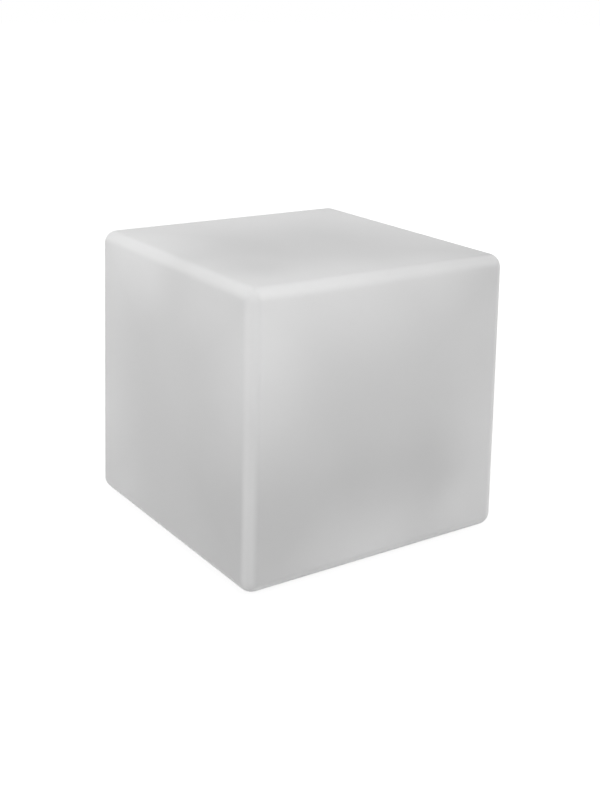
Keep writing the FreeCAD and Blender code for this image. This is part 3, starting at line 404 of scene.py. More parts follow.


# Middle, reach and change of tone of each patch of painted light (change above 0) and of painted shade (change
# below 0) on the faces.
PAINTED_SHADING_PATCHES = (
    # front
    ((-0.17, -0.20, 0.12), 0.11, -0.06),
    ((0.19, -0.20, 0.13), 0.12, 0.07),
    ((0.07, -0.20, 0.12), 0.09, -0.04),
    ((-0.03, -0.20, 0.11), 0.09, -0.045),
    ((0.12, -0.20, 0.06), 0.05, 0.04),
    ((-0.02, -0.20, 0.00), 0.15, 0.15),
    ((0.16, -0.20, 0.01), 0.12, 0.14),
    ((-0.04, -0.20, 0.36), 0.20, 0.05),
    ((0.09, -0.20, 0.39), 0.09, 0.06),
    # left
    ((-0.20, -0.15, 0.09), 0.16, -0.07),
    ((-0.20, 0.17, 0.12), 0.13, 0.05),
    ((-0.20, 0.02, 0.02), 0.12, -0.05),
    ((-0.20, 0.11, 0.40), 0.15, 0.16),
    ((-0.21, -0.08, 0.36), 0.10, 0.08),
    ((-0.21, 0.03, 0.36), 0.08, 0.05),
    ((-0.14, -0.10, 0.39), 0.07, -0.05),
    ((-0.20, -0.18, 0.30), 0.13, 0.09),
    # top
    ((0.02, 0.20, 0.39), 0.25, 0.15),
    ((0.19, 0.10, 0.39), 0.18, 0.09),
    ((0.02, 0.11, 0.39), 0.11, 0.03),
    ((-0.12, -0.05, 0.39), 0.16, -0.04),
    ((0.17, -0.18, 0.40), 0.12, -0.08),
    ((0.06, -0.14, 0.39), 0.10, -0.04),
)
# Painted highlight band on the edges: its start and end, in half widths past the flat of a face, and its strength.
PAINTED_EDGE_BAND = (0.006, 0.055, 0.55)
# Painted light, a slow brightening towards the border of a face: its start and end, in half widths, and its
# strength.
GLOW = (0.25, 1.0, 0.38)
# Painted shade: the plastic's colour is darkened towards the cube's foot, to this share at the very bottom.
FOOT_SHADE_TONE = 0.93             # of the plastic at the cube's foot


def milky_plastic():
    """Rotationally moulded polyethylene: satin, faintly clouded, with a painted highlight along its edges and
    corners, painted light and shade patches on its faces and painted shade towards its foot.
    """
    given = bpy.context.scene.cube_light_shell
    made, shader, where = started("milky plastic")
    shape = {
        "half_width": SHELL_HIGH.x, "middle_height": (SHELL_HIGH.z + SHELL_LOW.z) / 2,
        "half_height": (SHELL_HIGH.z - SHELL_LOW.z) / 2, "lean": math.tan(given.lean)}
    flat = 1.0 - given.edge_radius / SHELL_HIGH.x
    # Painted highlight: the plastic's colour goes towards the edge colour on the rounded edges and towards each
    # face's border.
    band = use("thick edges", where, start=flat + PAINTED_EDGE_BAND[0], full=flat + PAINTED_EDGE_BAND[1], **shape)
    # Painted light: the plastic brightens slowly towards each face's border.
    glow = use("thick edges", where, start=GLOW[0], full=GLOW[1], **shape)
    near = band["Mask"] * PAINTED_EDGE_BAND[2] + glow["Mask"] * GLOW[2]
    colour = blend(near, given.colour, given.painted_edge_colour)
    # Painted shade: darker towards the cube's foot.
    painted_foot_shade = remap(glow["Height share"], -1.0, 0.7, FOOT_SHADE_TONE, 1.0)
    tone = use("clouding", where, scale=5.0, amount=0.015)["Tone"] * painted_foot_shade
    # Painted light and painted shade: soft patches that lighten or darken parts of each face.
    for middle, reach, amount in PAINTED_SHADING_PATCHES:
        tone = use("wall patch", where, middle=middle, reach=reach, amount=amount, tone=tone)["Tone"]
    # The painted shade of the darker patches is taken back off the painted edge band.
    missing = maths("MAXIMUM", 1.0 - tone, 0.0)         # darker patches leave the band on the edges alone
    wire(shader["Base Color"], shade(colour, tone + missing * band["Mask"]))
    peeled(shader, where, scale=260.0, gloss=0.58, spread=0.08, depth=0.00012, strength=0.35)
    shader["IOR"].default_value = 1.51
    shader["Specular IOR Level"].default_value = 0.22
    scattering(shader, 0.35, 0.006)
    return made


def moulded(name, colour, gloss, grain, depth, soft, dust):
    """Injection-moulded plastic with a fine eroded skin and a trace of dust."""
    made, shader, where = started(name)
    marks = use("settled dust", where, scale=45.0, amount=dust)["Mask"]
    wire(shader["Base Color"], blend(marks, clouded(colour, where, 30.0, 0.025), (0.6, 0.58, 0.55)))
    peeled(shader, where, scale=grain, gloss=gloss, spread=0.12, depth=depth, strength=0.6, dulled=marks)
    if soft:
        scattering(shader, soft, 0.002)
    return made


def metal(name, colour, gloss, scale, stretch, tarnish=None):
    """Turned, drawn or rolled metal with fine streaks and slight staining."""
    made, shader, where = started(name)
    streaks = use("brushed", where, scale=scale, stretch=stretch, gloss=gloss, spread=0.2)
    base = shade(colour, streaks["Tone"])
    if tarnish:
        base = blend(use("settled dust", where, scale=220.0, amount=0.55)["Mask"], base, tarnish)
    wire(shader["Base Color"], base)
    wire(shader["Roughness"], streaks["Gloss"])
    shader["Metallic"].default_value = 1.0
    bump(shader, streaks["Height"], 0.00002, 0.4)
    return made


def frosted(name, colour, gloss, transmission, soft):
    """Translucent moulding that spreads the light."""
    made, shader, where = started(name)
    wire(shader["Base Color"], clouded(colour, where, 18.0, 0.03))
    peeled(shader, where, scale=700.0, gloss=gloss, spread=0.1, depth=0.00008, strength=0.5)
    shader["Transmission Weight"].default_value = transmission
    shader["IOR"].default_value = 1.5
    scattering(shader, soft, 0.003)
    return made


def circuit_board(name, mask, copper, scale):
    """Solder mask over copper tracks, which stand up a little and show lighter."""
    made, shader, where = started(name)
    patches = node(
        where.tree, "ShaderNodeTexVoronoi", {"Vector": where, "Scale": scale, "Randomness": 0.6},
        distance="CHEBYCHEV")
    bands = maths("PINGPONG", Value(patches.outputs["Distance"]) * 3.0, 0.5)
    track = remap(bands, 0.2, 0.26)
    wire(shader["Base Color"], clouded(blend(track, mask, copper), where, 60.0, 0.05))
    wire(shader["Roughness"], use("orange peel", where, scale=1500.0, gloss=0.3, spread=0.1)["Gloss"])
    bump(shader, track, 0.00006, 0.8)
    return made


def banded_cell():
    """Steel can with a shrink sleeve: bare metal at the two ends."""
    made, shader, where = started("cell sleeve")
    low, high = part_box("battery_cells")
    half = (high.x - low.x) / 2
    end = abs(split(where)[0] - (low.x + high.x) / 2)
    bare = remap(end, half - 0.0022, half - 0.0018)
    sleeve = clouded((0.045, 0.16, 0.36), where, 40.0, 0.04)
    wire(shader["Base Color"], blend(bare, sleeve, (0.62, 0.6, 0.57)))
    wire(shader["Metallic"], bare)
    peeled(shader, where, scale=420.0, gloss=0.33, spread=0.12, depth=0.00005, strength=0.4)
    return made


BODY, FILLING, TINNED = 0, 1, 2     # what the kind attribute of a small electronic part says


def by_kind(name, plain, filling):
    """Small electronic part: its body, its filling and its tinned ends, told apart by the kind attribute."""
    made, shader, where = started(name)
    kind = Value(node(where.tree, "ShaderNodeAttribute", attribute_name="kind").outputs["Fac"])
    filled = maths("COMPARE", kind, float(FILLING), 0.4)
    tinned = maths("COMPARE", kind, float(TINNED), 0.4)
    grain = noise(where, 2600.0, 2.0, 0.6)
    colour = blend(tinned, blend(filled, plain, filling), (0.62, 0.62, 0.6))
    wire(shader["Base Color"], shade(colour, remap(grain, 0.3, 0.7, 0.9, 1.0)))
    wire(shader["Metallic"], tinned)
    wire(shader["Roughness"], remap(grain, 0.3, 0.7, 0.3, 0.5))
    bump(shader, grain, 0.00004, 0.5)
    return made


def insulated(name, colour):
    """Soft wire insulation with a dull shine."""
    made, shader, where = started(name)
    wire(shader["Base Color"], clouded(colour, where, 90.0, 0.06))
    peeled(shader, where, scale=900.0, gloss=0.42, spread=0.15, depth=0.00005, strength=0.5)
    shader["Coat Weight"].default_value = 0.15
    return made


def flat_cable():
    """Grey ribbon with a fine groove between its ways and one red way."""
    made, shader, where = started("ribbon cable")
    x = split(where)[0]
    groove = remap(maths("PINGPONG", x, 0.0005), 0.00034, 0.0005)
    red_way = remap(x, -0.0021, -0.0019, 1.0, 0.0)
    ways = blend(red_way, (0.42, 0.43, 0.44), (0.5, 0.05, 0.04))
    # Painted shade: the colour darkens to 0.55 of itself in each groove between the ways.
    wire(shader["Base Color"], shade(ways, remap(groove, 0.0, 1.0, 1.0, 0.55)))
    shader["Roughness"].default_value = 0.45
    bump(shader, groove, -0.0002, 0.8)
    return made


# Each slot's finish: the function that builds it, and its arguments in order.
FINISHES = {
    "shell": (milky_plastic,),
    "casing": (moulded, "white casing", (0.72, 0.72, 0.70), 0.42, 700.0, 0.00005, 0.15, 0.12),
    "dome": (frosted, "frosted dome", (0.86, 0.86, 0.85), 0.55, 0.35, 0.3),
    "clear": (frosted, "clear pin", (0.92, 0.93, 0.93), 0.12, 0.9, 0.0),
    "rubber": (moulded, "black rubber", (0.022, 0.022, 0.023), 0.72, 900.0, 0.00009, 0.0, 0.10),
    "silicone": (moulded, "grey silicone", (0.30, 0.31, 0.32), 0.58, 600.0, 0.00005, 0.1, 0.12),
    "brass": (metal, "turned brass", (0.78, 0.57, 0.27), 0.28, 1200.0, (1.0, 1.0, 0.08), (0.35, 0.22, 0.1)),
    "screw": (metal, "stainless steel", (0.60, 0.59, 0.57), 0.26, 1500.0, (1.0, 1.0, 0.1)),
    "nut": (metal, "plated brass", (0.66, 0.64, 0.60), 0.22, 1300.0, (1.0, 1.0, 0.1), (0.4, 0.36, 0.3)),
    "aluminium": (metal, "rolled aluminium", (0.80, 0.80, 0.81), 0.36, 700.0, (0.04, 1.0, 1.0)),
    "board_white": (circuit_board, "white board", (0.80, 0.80, 0.77), (0.75, 0.75, 0.715), 170.0),
    "board_green": (circuit_board, "green board", (0.012, 0.12, 0.045), (0.035, 0.24, 0.09), 420.0),
    "led": (by_kind, "led package", (0.84, 0.84, 0.82), (0.86, 0.70, 0.16)),
    "chip": (by_kind, "small parts", (0.05, 0.045, 0.04), (0.05, 0.045, 0.04)),
    "winding": (metal, "enamelled copper", (0.56, 0.22, 0.09), 0.3, 1500.0, (1.0, 1.0, 0.2)),
    "black_part": (moulded, "component black", (0.028, 0.028, 0.03), 0.5, 2200.0, 0.00003, 0.0, 0.15),
    "black_matte": (moulded, "black moulding", (0.03, 0.03, 0.031), 0.55, 800.0, 0.00007, 0.0, 0.08),
    "header": (moulded, "ivory header", (0.78, 0.74, 0.62), 0.4, 1400.0, 0.00003, 0.2, 0.1),
    "cell": (banded_cell,),
    "nickel": (metal, "nickel strip", (0.68, 0.65, 0.60), 0.3, 1100.0, (1.0, 0.06, 1.0), (0.42, 0.36, 0.28)),
    "can": (metal, "capacitor can", (0.72, 0.72, 0.73), 0.3, 1500.0, (1.0, 1.0, 0.05)),
    "red_wire": (insulated, "red insulation", (0.52, 0.02, 0.015)),
    "black_wire": (insulated, "black insulation", (0.02, 0.02, 0.021)),
    "ribbon": (flat_cable,),
    "membrane": (moulded, "white membrane", (0.84, 0.84, 0.83), 0.8, 3000.0, 0.00003, 0.0, 0.05),
}

_made = {}


def finish_of(slot):
    """The finish of a material slot, made once."""
    if slot not in _made:
        build, *facts = FINISHES[slot]
        _made[slot] = build(*facts)
    return _made[slot]


# ---- mesh helpers

SAME_POINT = 2e-6                   # distance within which the CAD's corners are one
SAME_FACE = math.radians(0.05)      # angle within which its triangles are one flat face


def add_piece(name, mesh, body="cube", stands_for=()):
    """Links a finished mesh as a piece of the object, at the origin, riding on its body."""
    piece = bpy.data.objects.new(name, mesh)
    bpy.context.scene.collection.objects.link(piece)
    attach(piece, body)
    if stands_for:
        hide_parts(*stands_for)
    return piece


def merged(name):
    """Copy of a CAD node's triangles with shared corners joined and flat areas in one piece."""
    source = frame["nodes"][name].data.copy()
    if "custom_normal" in source.attributes:
        source.attributes.remove(source.attributes["custom_normal"])
    solid = bmesh.new()
    solid.from_mesh(source)
    bpy.data.meshes.remove(source)
    bmesh.ops.remove_doubles(solid, verts=solid.verts, dist=SAME_POINT)
    bmesh.ops.dissolve_limit(
        solid, angle_limit=SAME_FACE, verts=solid.verts, edges=solid.edges, use_dissolve_boundaries=False)
    return solid


def shaped(name, solid, sharp=30.0):
    """Finished mesh from a bmesh, smooth except across sharp edges."""
    mesh = bpy.data.meshes.new(name)
    solid.to_mesh(mesh)
    solid.free()
    mesh.shade_smooth()
    mesh.set_sharp_from_angle(angle=math.radians(sharp))
    return mesh


def parts_of(solid):
    """The separate solids of a bmesh, each as its lowest corner, its highest corner and its vertices."""
    left = set(solid.verts)
    parts = []
    while left:
        waiting = [left.pop()]
        reached = []
        while waiting:
            vertex = waiting.pop()
            reached.append(vertex)
            for edge in vertex.link_edges:
                other = edge.other_vert(vertex)
                if other in left:
                    left.remove(other)
                    waiting.append(other)
        columns = list(zip(*(vertex.co for vertex in reached)))
        low, high = (Vector([pick(column) for column in columns]) for pick in (min, max))
        parts.append((low, high, reached))
    return sorted(parts, key=lambda part: tuple(round(value, 6) for value in part[0]))


def foot_of(low, high, reached=()):
    """Point under the middle of a solid, at its lowest height."""
    return Vector(((low.x + high.x) / 2, (low.y + high.y) / 2, low.z))


def shank_end(low, high, reached):
    """Lowest point of a screw's shank: under its seat when the head points down, its tip when it points up."""
    middle = (low + high) / 2
    wide = (high.x - low.x) / 2
    rim = max(vertex.co.z for vertex in reached if (vertex.co - middle).xy.length > 0.95 * wide)
    return Vector((middle.x, middle.y, rim if rim < middle.z else low.z))


def with_seats(name, seat_of):
    """Merged copy of a node whose vertices know their own solid's seat, with a loose point on each seat."""
    solid = merged(name)
    axis = solid.verts.layers.float_vector.new("axis")
    seat = solid.verts.layers.float.new("seat")
    for low, high, reached in parts_of(solid):
        place = seat_of(low, high, reached)
        for vertex in reached:
            vertex[axis] = place
        added = solid.verts.new(place)
        added[seat] = 1.0
        added[axis] = place
    return shaped(name + "_form", solid)


def point_cloud(name, places, turns=()):
    """Mesh of loose points, each with the turn of the piece that goes there."""
    mesh = bpy.data.meshes.new(name)
    mesh.from_pydata([tuple(place) for place in places], [], [])
    layer = mesh.attributes.new("turn", "FLOAT_VECTOR", "POINT")
    for entry, turn in zip(layer.data, turns):
        entry.vector = (0.0, 0.0, turn)
    return mesh


# ---- geometry node helpers


def geometry_tree(name, *inputs):
    """New geometry tree with named inputs and a finish; returns its inputs."""
    inputs = (("Geometry", GEOMETRY), *inputs, ("Finish", MATERIAL))
    return tree_with(name, "GeometryNodeTree", inputs, (("Geometry", GEOMETRY),))[0]


def ended(given, geometry):
    """Last two nodes of every tree: real geometry, with its finish. Returns the tree."""
    tree = geometry.tree
    real = Value(node(tree, "GeometryNodeRealizeInstances", {"Geometry": geometry}).outputs[0])
    coat = node(tree, "GeometryNodeSetMaterial", {"Geometry": real, "Material": given["Finish"]})
    wire(tree.nodes["Group Output"].inputs["Geometry"], Value(coat.outputs[0]))
    return tree


def grown(name, mesh, tree, slot, stands_for=(), body="cube", finish=None, **values):
    """Runs a geometry tree over a mesh, and adds the plain mesh that comes out as a piece."""
    carrier = bpy.data.objects.new(name, mesh)
    bpy.context.scene.collection.objects.link(carrier)
    modifier = carrier.modifiers.new(tree.name, "NODES")
    modifier.node_group = tree
    coat = finish_of(finish or slot)
    wanted = {label.replace("_", " ").capitalize(): value for label, value in values.items()}
    wanted["Finish"] = coat
    for item in tree.interface.items_tree:
        if item.item_type == "SOCKET" and item.in_out == "INPUT" and item.name in wanted:
            modifier[item.identifier] = wanted.pop(item.name)
    if wanted:
        raise RuntimeError(f"{tree.name} has no input named {sorted(wanted)}")
    result = bpy.data.meshes.new_from_object(carrier.evaluated_get(bpy.context.evaluated_depsgraph_get()))
    carrier.modifiers.remove(modifier)
    bpy.data.objects.remove(carrier)
    result.name = name
    result.materials.clear()
    result.materials.append(coat)
    result.polygons.foreach_set("material_index", [0] * len(result.polygons))
    return add_piece(name, result, body, stands_for)


def placed(tree, kind, **values):
    """New geometry node with its sockets filled by name; returns what it makes."""
    inputs = {label.replace("_", " ").title(): value for label, value in values.items()}
    return Value(node(tree, "GeometryNode" + kind, inputs).outputs[0])


def joined(*parts):
    made = node(parts[0].tree, "GeometryNodeJoinGeometry")
    for part in parts:
        wire(made.inputs[0], part)
    return Value(made.outputs[0])


def shifted(geometry, offset=None, turn=None):
    return placed(geometry.tree, "Transform", geometry=geometry, translation=offset, rotation=turn)


def moved_by(geometry, offset):
    return placed(geometry.tree, "SetPosition", geometry=geometry, offset=offset)


def circle(corners, radius):
    return placed(radius.tree, "CurvePrimitiveCircle", resolution=corners, radius=radius)


def rod(corners, radius, depth):
    return placed(radius.tree, "MeshCylinder", vertices=corners, radius=radius, depth=depth)


def sown(points, piece, turn=None):
    """One copy of a piece on every point."""
    return placed(points.tree, "InstanceOnPoints", points=points, instance=piece, rotation=turn)


def box_shape(x, y, z):
    size = point(x, y, z)
    return placed(size.tree, "MeshCube", size=size)


def wound(turns, reach, height, section, steps):
    """Tube along a helix that rises from the origin."""
    tree = reach.tree
    helix = placed(
        tree, "CurveSpiral", resolution=steps, rotations=turns, start_radius=reach, end_radius=reach,
        height=height)
    return placed(tree, "CurveToMesh", curve=helix, profile_curve=section, fill_caps=True)


def position(tree):
    return Value(node(tree, "GeometryNodeInputPosition").outputs[0])


def stored(tree, name, kind="FLOAT"):
    """Value that the mesh's points carry under a name."""
    made = node(tree, "GeometryNodeInputNamedAttribute", {"Name": name}, data_type=kind)
    return Value(made.outputs["Attribute"])


def marked(kind, *parts):
    """Parts joined, which tell their finish what kind they are."""
    made = node(
        parts[0].tree, "GeometryNodeStoreNamedAttribute",
        {"Geometry": joined(*parts), "Name": "kind", "Value": float(kind)}, data_type="FLOAT", domain="FACE")
    return Value(made.outputs["Geometry"])


def seats_and_body(geometry):
    """Splits a mesh from with_seats into its seat points and the rest."""
    made = node(
        geometry.tree, "GeometryNodeSeparateGeometry",
        {"Geometry": geometry, "Selection": stored(geometry.tree, "seat")}, domain="POINT")
    return Value(made.outputs["Selection"]), Value(made.outputs["Inverted"])


def pulled_in(body, nearest, farthest, amount, low=None, high=None):
    """Moves inwards the points of a turned part between two distances from its axis and two heights."""
    x, y, z = split(vectors("SUBTRACT", position(body.tree), stored(body.tree, "axis", "FLOAT_VECTOR")))
    reach = vectors("LENGTH", point(x, y))
    chosen = (reach > nearest) * (reach < farthest)
    if low is not None:
        chosen = chosen * (z > low) * (z < high)
    share = amount * -1.0 / maths("MAXIMUM", reach, 0.0001) * chosen
    return moved_by(body, point(x * share, y * share))


# ---- moulded shell

LOWEST_LOOP = 2         # of the level loops round the cube, in steps of the grid


def drawn_faces():
    """Tree that draws the middle of each outer face inwards, and leaves edges, well and feet alone."""
    given = geometry_tree(
        "drawn faces", ("Half width", FLOAT, 0.2), ("Low", FLOAT, 0.004), ("High", FLOAT, 0.384),
        ("Lean", FLOAT, 0.0157), ("Wall", FLOAT, 0.004), ("Edge radius", FLOAT, 0.018), ("Sink", FLOAT, 0.0015))
    x, y, z = split(position(given["Geometry"].tree))
    half = given["Half width"] - (z - given["Low"]) * given["Lean"]
    reach = (given["High"] - given["Low"]) * 0.5
    lift = z - (given["Low"] + given["High"]) * 0.5
    skin = given["Wall"] * 1.2

    def fall(value, span):
        """1 in the middle of a face, 0 from the start of its rounding."""
        share = maths("DIVIDE", abs(value), span, clamp=True)
        return maths("POWER", 1.0 - maths("POWER", share, 2.0), 2.0)

    def pull(value, gate, first, second):
        return first * second * given["Sink"] * maths("SIGN", value) * gate * -1.0

    fall_x = fall(x, half - given["Edge radius"])
    fall_y = fall(y, half - given["Edge radius"])
    fall_z = fall(lift, reach - given["Edge radius"])
    offset = point(
        pull(x, abs(x) > half - skin, fall_y, fall_z),
        pull(y, abs(y) > half - skin, fall_x, fall_z),
        pull(lift, lift > reach - skin, fall_x, fall_y))
    return ended(given, moved_by(given["Geometry"], offset))


class CUBE_LIGHT_OT_mould_shell(bpy.types.Operator):
    """Moulds the hollow cube with its slightly drawn faces"""

    bl_idname = "cube_light.mould_shell"
    bl_label = "Mould the shell"

    def execute(self, context):
        given = context.scene.cube_light_shell
        solid = merged("cube_shell")
        across = int((SHELL_HIGH.x - given.edge_radius) / given.grid)
        up = int((SHELL_HIGH.z - given.edge_radius) / given.grid)
        sideways = range(-across, across + 1)
        for axis, steps in (("X", sideways), ("Y", sideways), ("Z", range(LOWEST_LOOP, up + 1))):
            normal = Vector([float(name == axis) for name in "XYZ"])
            for step in steps:
                bmesh.ops.bisect_plane(
                    solid, geom=solid.verts[:] + solid.edges[:] + solid.faces[:], dist=1e-6,
                    plane_co=normal * (step * given.grid), plane_no=normal)
        piece = grown(
            "moulded_shell", shaped("moulded_shell_form", solid, sharp=35.0), drawn_faces(), "shell",
            ("cube_shell",), half_width=SHELL_HIGH.x, low=SHELL_LOW.z, high=SHELL_HIGH.z,
            lean=math.tan(given.lean), wall=given.wall, edge_radius=given.edge_radius, sink=given.sink)
        even = piece.modifiers.new("even shading", "WEIGHTED_NORMAL")
        even.keep_sharp = True
        even.weight = 60
        return {"FINISHED"}


# ---- screws, inserts, feet, cover, button

MACHINE_SCREWS = ("module_screws", "foot_screws")
TAPPING_SCREWS = ("dome_screws", "heat_plate_screws", "led_board_screws", "clamp_screws", "board_screws")
ROOT_SHARE = 0.7            # of a thread's height that the shank is cut down by
END_ROOM = 0.0001           # past each end of a shank that is still cut down
SPIN_STEPS = 64             # round a foot
SOLE_STEPS = 30             # rings across a foot's sole, for the grooves
TAB_RIDGE_START = 0.0011    # from the edge of the finger tab to its first ridge
TAB_RIDGE_PITCH = 0.0012    # from ridge to ridge


def threaded_screws():
    """Tree that cuts each shank down to its root and winds a thread round it."""
    given = geometry_tree(
        "threaded screws", ("Crest", FLOAT, 0.00195), ("Root", FLOAT, 0.0015), ("Pitch", FLOAT, 0.0007),
        ("Length", FLOAT, 0.015), ("Low", FLOAT, 0.0), ("High", FLOAT, 0.015))
    seats, body = seats_and_body(given["Geometry"])
    body = pulled_in(
        body, 0.0003, given["Crest"] * 1.02, given["Crest"] - given["Root"], given["Low"], given["High"])
    half = given["Pitch"] * 0.46
    run = given["Length"] - given["Pitch"]
    thread = wound(run / given["Pitch"], given["Crest"] - half, run, circle(4, half), 12)
    return ended(given, joined(body, sown(seats, shifted(thread, point(z=given["Pitch"] * 0.5)))))


def knurled_inserts():
    """Tree that stands two bands of teeth round each insert."""
    given = geometry_tree(
        "knurled inserts", ("Radius", FLOAT, 0.0031), ("Length", FLOAT, 0.01), ("Teeth", COUNT, 20),
        ("Tooth", FLOAT, 0.0003), ("Band", FLOAT, 0.3))
    seats, body = seats_and_body(given["Geometry"])
    tree = body.tree
    body = pulled_in(body, given["Radius"] * 0.85, given["Radius"] * 1.1, given["Tooth"])
    half = given["Tooth"] * 1.6
    rim = placed(tree, "MeshCircle", vertices=given["Teeth"], radius=given["Radius"] - half)
    ridge = rod(4, half, given["Length"] * given["Band"])
    index = Value(node(tree, "GeometryNodeInputIndex").outputs[0])
    teeth = sown(rim, ridge, point(z=index / given["Teeth"] * math.tau))
    bands = [shifted(teeth, point(z=given["Length"] * share)) for share in (0.2, 0.8)]
    return ended(given, joined(body, sown(seats, joined(*bands))))


def grooved_feet():
    """Tree that copies one foot to every corner and presses round grip grooves into its sole."""
    given = geometry_tree(
        "grooved feet", ("Inner", FLOAT, 0.0065), ("Outer", FLOAT, 0.0125), ("Grooves", COUNT, 3),
        ("Depth", FLOAT, 0.0006), ("Reach", FLOAT, 0.148))
    tree = given["Geometry"].tree
    x, y, z = split(position(tree))
    share = remap(vectors("LENGTH", point(x, y)), given["Inner"], given["Outer"], smooth=False)
    wave = maths("PINGPONG", share * given["Grooves"], 0.5)
    pressed = remap(wave, 0.26, 0.4) * given["Depth"] * (z < 0.00001)
    foot = moved_by(given["Geometry"], point(z=pressed))
    side = given["Reach"] * 2.0
    corners = placed(tree, "MeshGrid", vertices_x=2, vertices_y=2, size_x=side, size_y=side)
    return ended(given, sown(corners, foot))


def ridged_tab():
    """Tree that lays a row of round ridges across the finger tab."""
    given = geometry_tree("ridged tab", ("Length", FLOAT, 0.009), ("Radius", FLOAT, 0.0004))
    bar = rod(12, given["Radius"], given["Length"])
    return ended(given, sown(given["Geometry"], shifted(bar, turn=(0.0, math.pi / 2, 0.0))))


def shank_of(form):
    """Radius and length of the shank of the screws in a mesh: the narrow rings beyond the seat."""
    axis = form.attributes["axis"].data
    seat = form.attributes["seat"].data
    rings = {}
    for index, vertex in enumerate(form.vertices):
        if not seat[index].value:
            away = vertex.co - axis[index].vector
            rings.setdefault(round(away.z, 5), set()).add(round(away.xy.length, 5))
    levels = sorted(rings)
    crest = min(rings[levels[-1] if levels[0] < 0.0 else levels[0]])
    return crest, max(level for level in levels if level >= 0.0 and crest in rings[level])


class CUBE_LIGHT_OT_thread_screws(bpy.types.Operator):
    """Cuts a thread on every screw"""

    bl_idname = "cube_light.thread_screws"
    bl_label = "Thread the screws"

    def execute(self, context):
        given = context.scene.cube_light_hardware
        tree = threaded_screws()
        for name in MACHINE_SCREWS + TAPPING_SCREWS:
            pitch = given.pitch if name in MACHINE_SCREWS else given.tapping_pitch
            form = with_seats(name, shank_end)
            crest, reach = shank_of(form)
            grown(
                name.replace("_screws", "_threaded_screws"), form, tree, "screw", (name,), crest=crest,
                root=crest - pitch * given.thread_depth * ROOT_SHARE, pitch=pitch, length=reach, low=-END_ROOM,
                high=reach + END_ROOM)
        return {"FINISHED"}


class CUBE_LIGHT_OT_knurl_inserts(bpy.types.Operator):
    """Knurls the brass inserts in the cube's bosses"""

    bl_idname = "cube_light.knurl_inserts"
    bl_label = "Knurl the inserts"

    def execute(self, context):
        given = context.scene.cube_light_hardware
        tree = knurled_inserts()
        for name in ("module_inserts", "foot_inserts"):
            form = with_seats(name, foot_of)
            low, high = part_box(name)
            reach = max(
                (vertex.co - axis.vector).xy.length
                for vertex, axis in zip(form.vertices, form.attributes["axis"].data))
            grown(
                name.replace("_inserts", "_knurled_inserts"), form, tree, "brass", (name,), radius=reach,
                length=high.z - low.z, teeth=given.knurl_teeth, tooth=given.knurl_tooth)
        return {"FINISHED"}


class CUBE_LIGHT_OT_groove_feet(bpy.types.Operator):
    """Turns the rubber feet with grip grooves in their soles"""

    bl_idname = "cube_light.groove_feet"
    bl_label = "Groove the feet"

    def execute(self, context):
        given = context.scene.cube_light_hardware
        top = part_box("rubber_feet")[1].z
        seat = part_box("foot_washers")[1].z
        solid = merged("rubber_feet")
        low, high, reached = parts_of(solid)[0]
        middle = (low + high) / 2
        rings = sorted({
            (round((vertex.co - middle).xy.length, 5), round(vertex.co.z, 5)) for vertex in reached})
        solid.free()
        bore = rings[0][0]
        sole = [reach for reach, height in rings if height < 0.00002]
        inner, outer = min(sole), max(sole)
        side = [ring for ring in rings if ring[0] > outer + 0.00002]
        profile = [(bore, seat), (inner, seat)]
        profile += [(inner + (outer - inner) * step / SOLE_STEPS, 0.0) for step in range(SOLE_STEPS + 1)]
        profile += sorted(side, key=lambda ring: ring[1])
        profile += [(bore, top), (bore, seat)]
        turned = bmesh.new()
        corners = [turned.verts.new((reach, 0.0, height)) for reach, height in profile]
        edges = [turned.edges.new(pair) for pair in zip(corners, corners[1:])]
        bmesh.ops.spin(
            turned, geom=corners + edges, cent=(0.0, 0.0, 0.0), axis=(0.0, 0.0, 1.0), angle=math.tau,
            steps=SPIN_STEPS)
        bmesh.ops.remove_doubles(turned, verts=turned.verts, dist=1e-6)
        bmesh.ops.recalc_face_normals(turned, faces=turned.faces)
        grown(
            "grooved_feet", shaped("foot_form", turned, sharp=28.0), grooved_feet(), "rubber",
            ("rubber_feet",), inner=inner, outer=outer, grooves=given.foot_grooves, depth=given.groove_depth,
            reach=-middle.x)
        return {"FINISHED"}


class CUBE_LIGHT_OT_ridge_tab(bpy.types.Operator):
    """Lays ridges on the finger tab of the socket's cover"""

    bl_idname = "cube_light.ridge_tab"
    bl_label = "Ridge the finger tab"

    def execute(self, context):
        low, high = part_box("port_cover")
        first = low.y + TAB_RIDGE_START
        places = [
            ((low.x + high.x) / 2, first + TAB_RIDGE_PITCH * step, low.z)
            for step in range(context.scene.cube_light_hardware.tab_ridges)]
        points = point_cloud("tab_points", places)
        grown("tab_ridges", points, ridged_tab(), SLOT_OF["port_cover"], body="port_flap")
        return {"FINISHED"}


class CUBE_LIGHT_OT_fit_spring(bpy.types.Operator):
    """Lets the button's spring shorten against its upper seat as the button goes in"""
    # Swaps the button's spring for a merged copy of itself with its finish

    bl_idname = "cube_light.fit_spring"
    bl_label = "Fit the button's spring"

    def execute(self, context):
        low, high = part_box("button_spring")
        travel = next(max(joint["range_m"]) for joint in frame["joints"] if joint["name"] == "button_press")
        slot = SLOT_OF["button_spring"]
        coil = shaped("button_coil", merged("button_spring"))
        coil.materials.append(finish_of(slot))
        piece = add_piece("button_coil", coil, stands_for=("button_spring",))
        1 - travel / (high.z - low.z)
        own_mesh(piece)
        return {"FINISHED"}


# ---- electronics

# Across, start and end of each row of small parts, from the middle of the control board.
CHIP_ROWS = ((-0.007, -0.011, 0.0035), (0.0071, -0.0105, 0.0105), (0.0145, -0.0125, 0.0105))
COIL_CORE = 0.0042          # radius of the drum between its flanges
COIL_FLANGE = 0.00125       # thickness of each flange


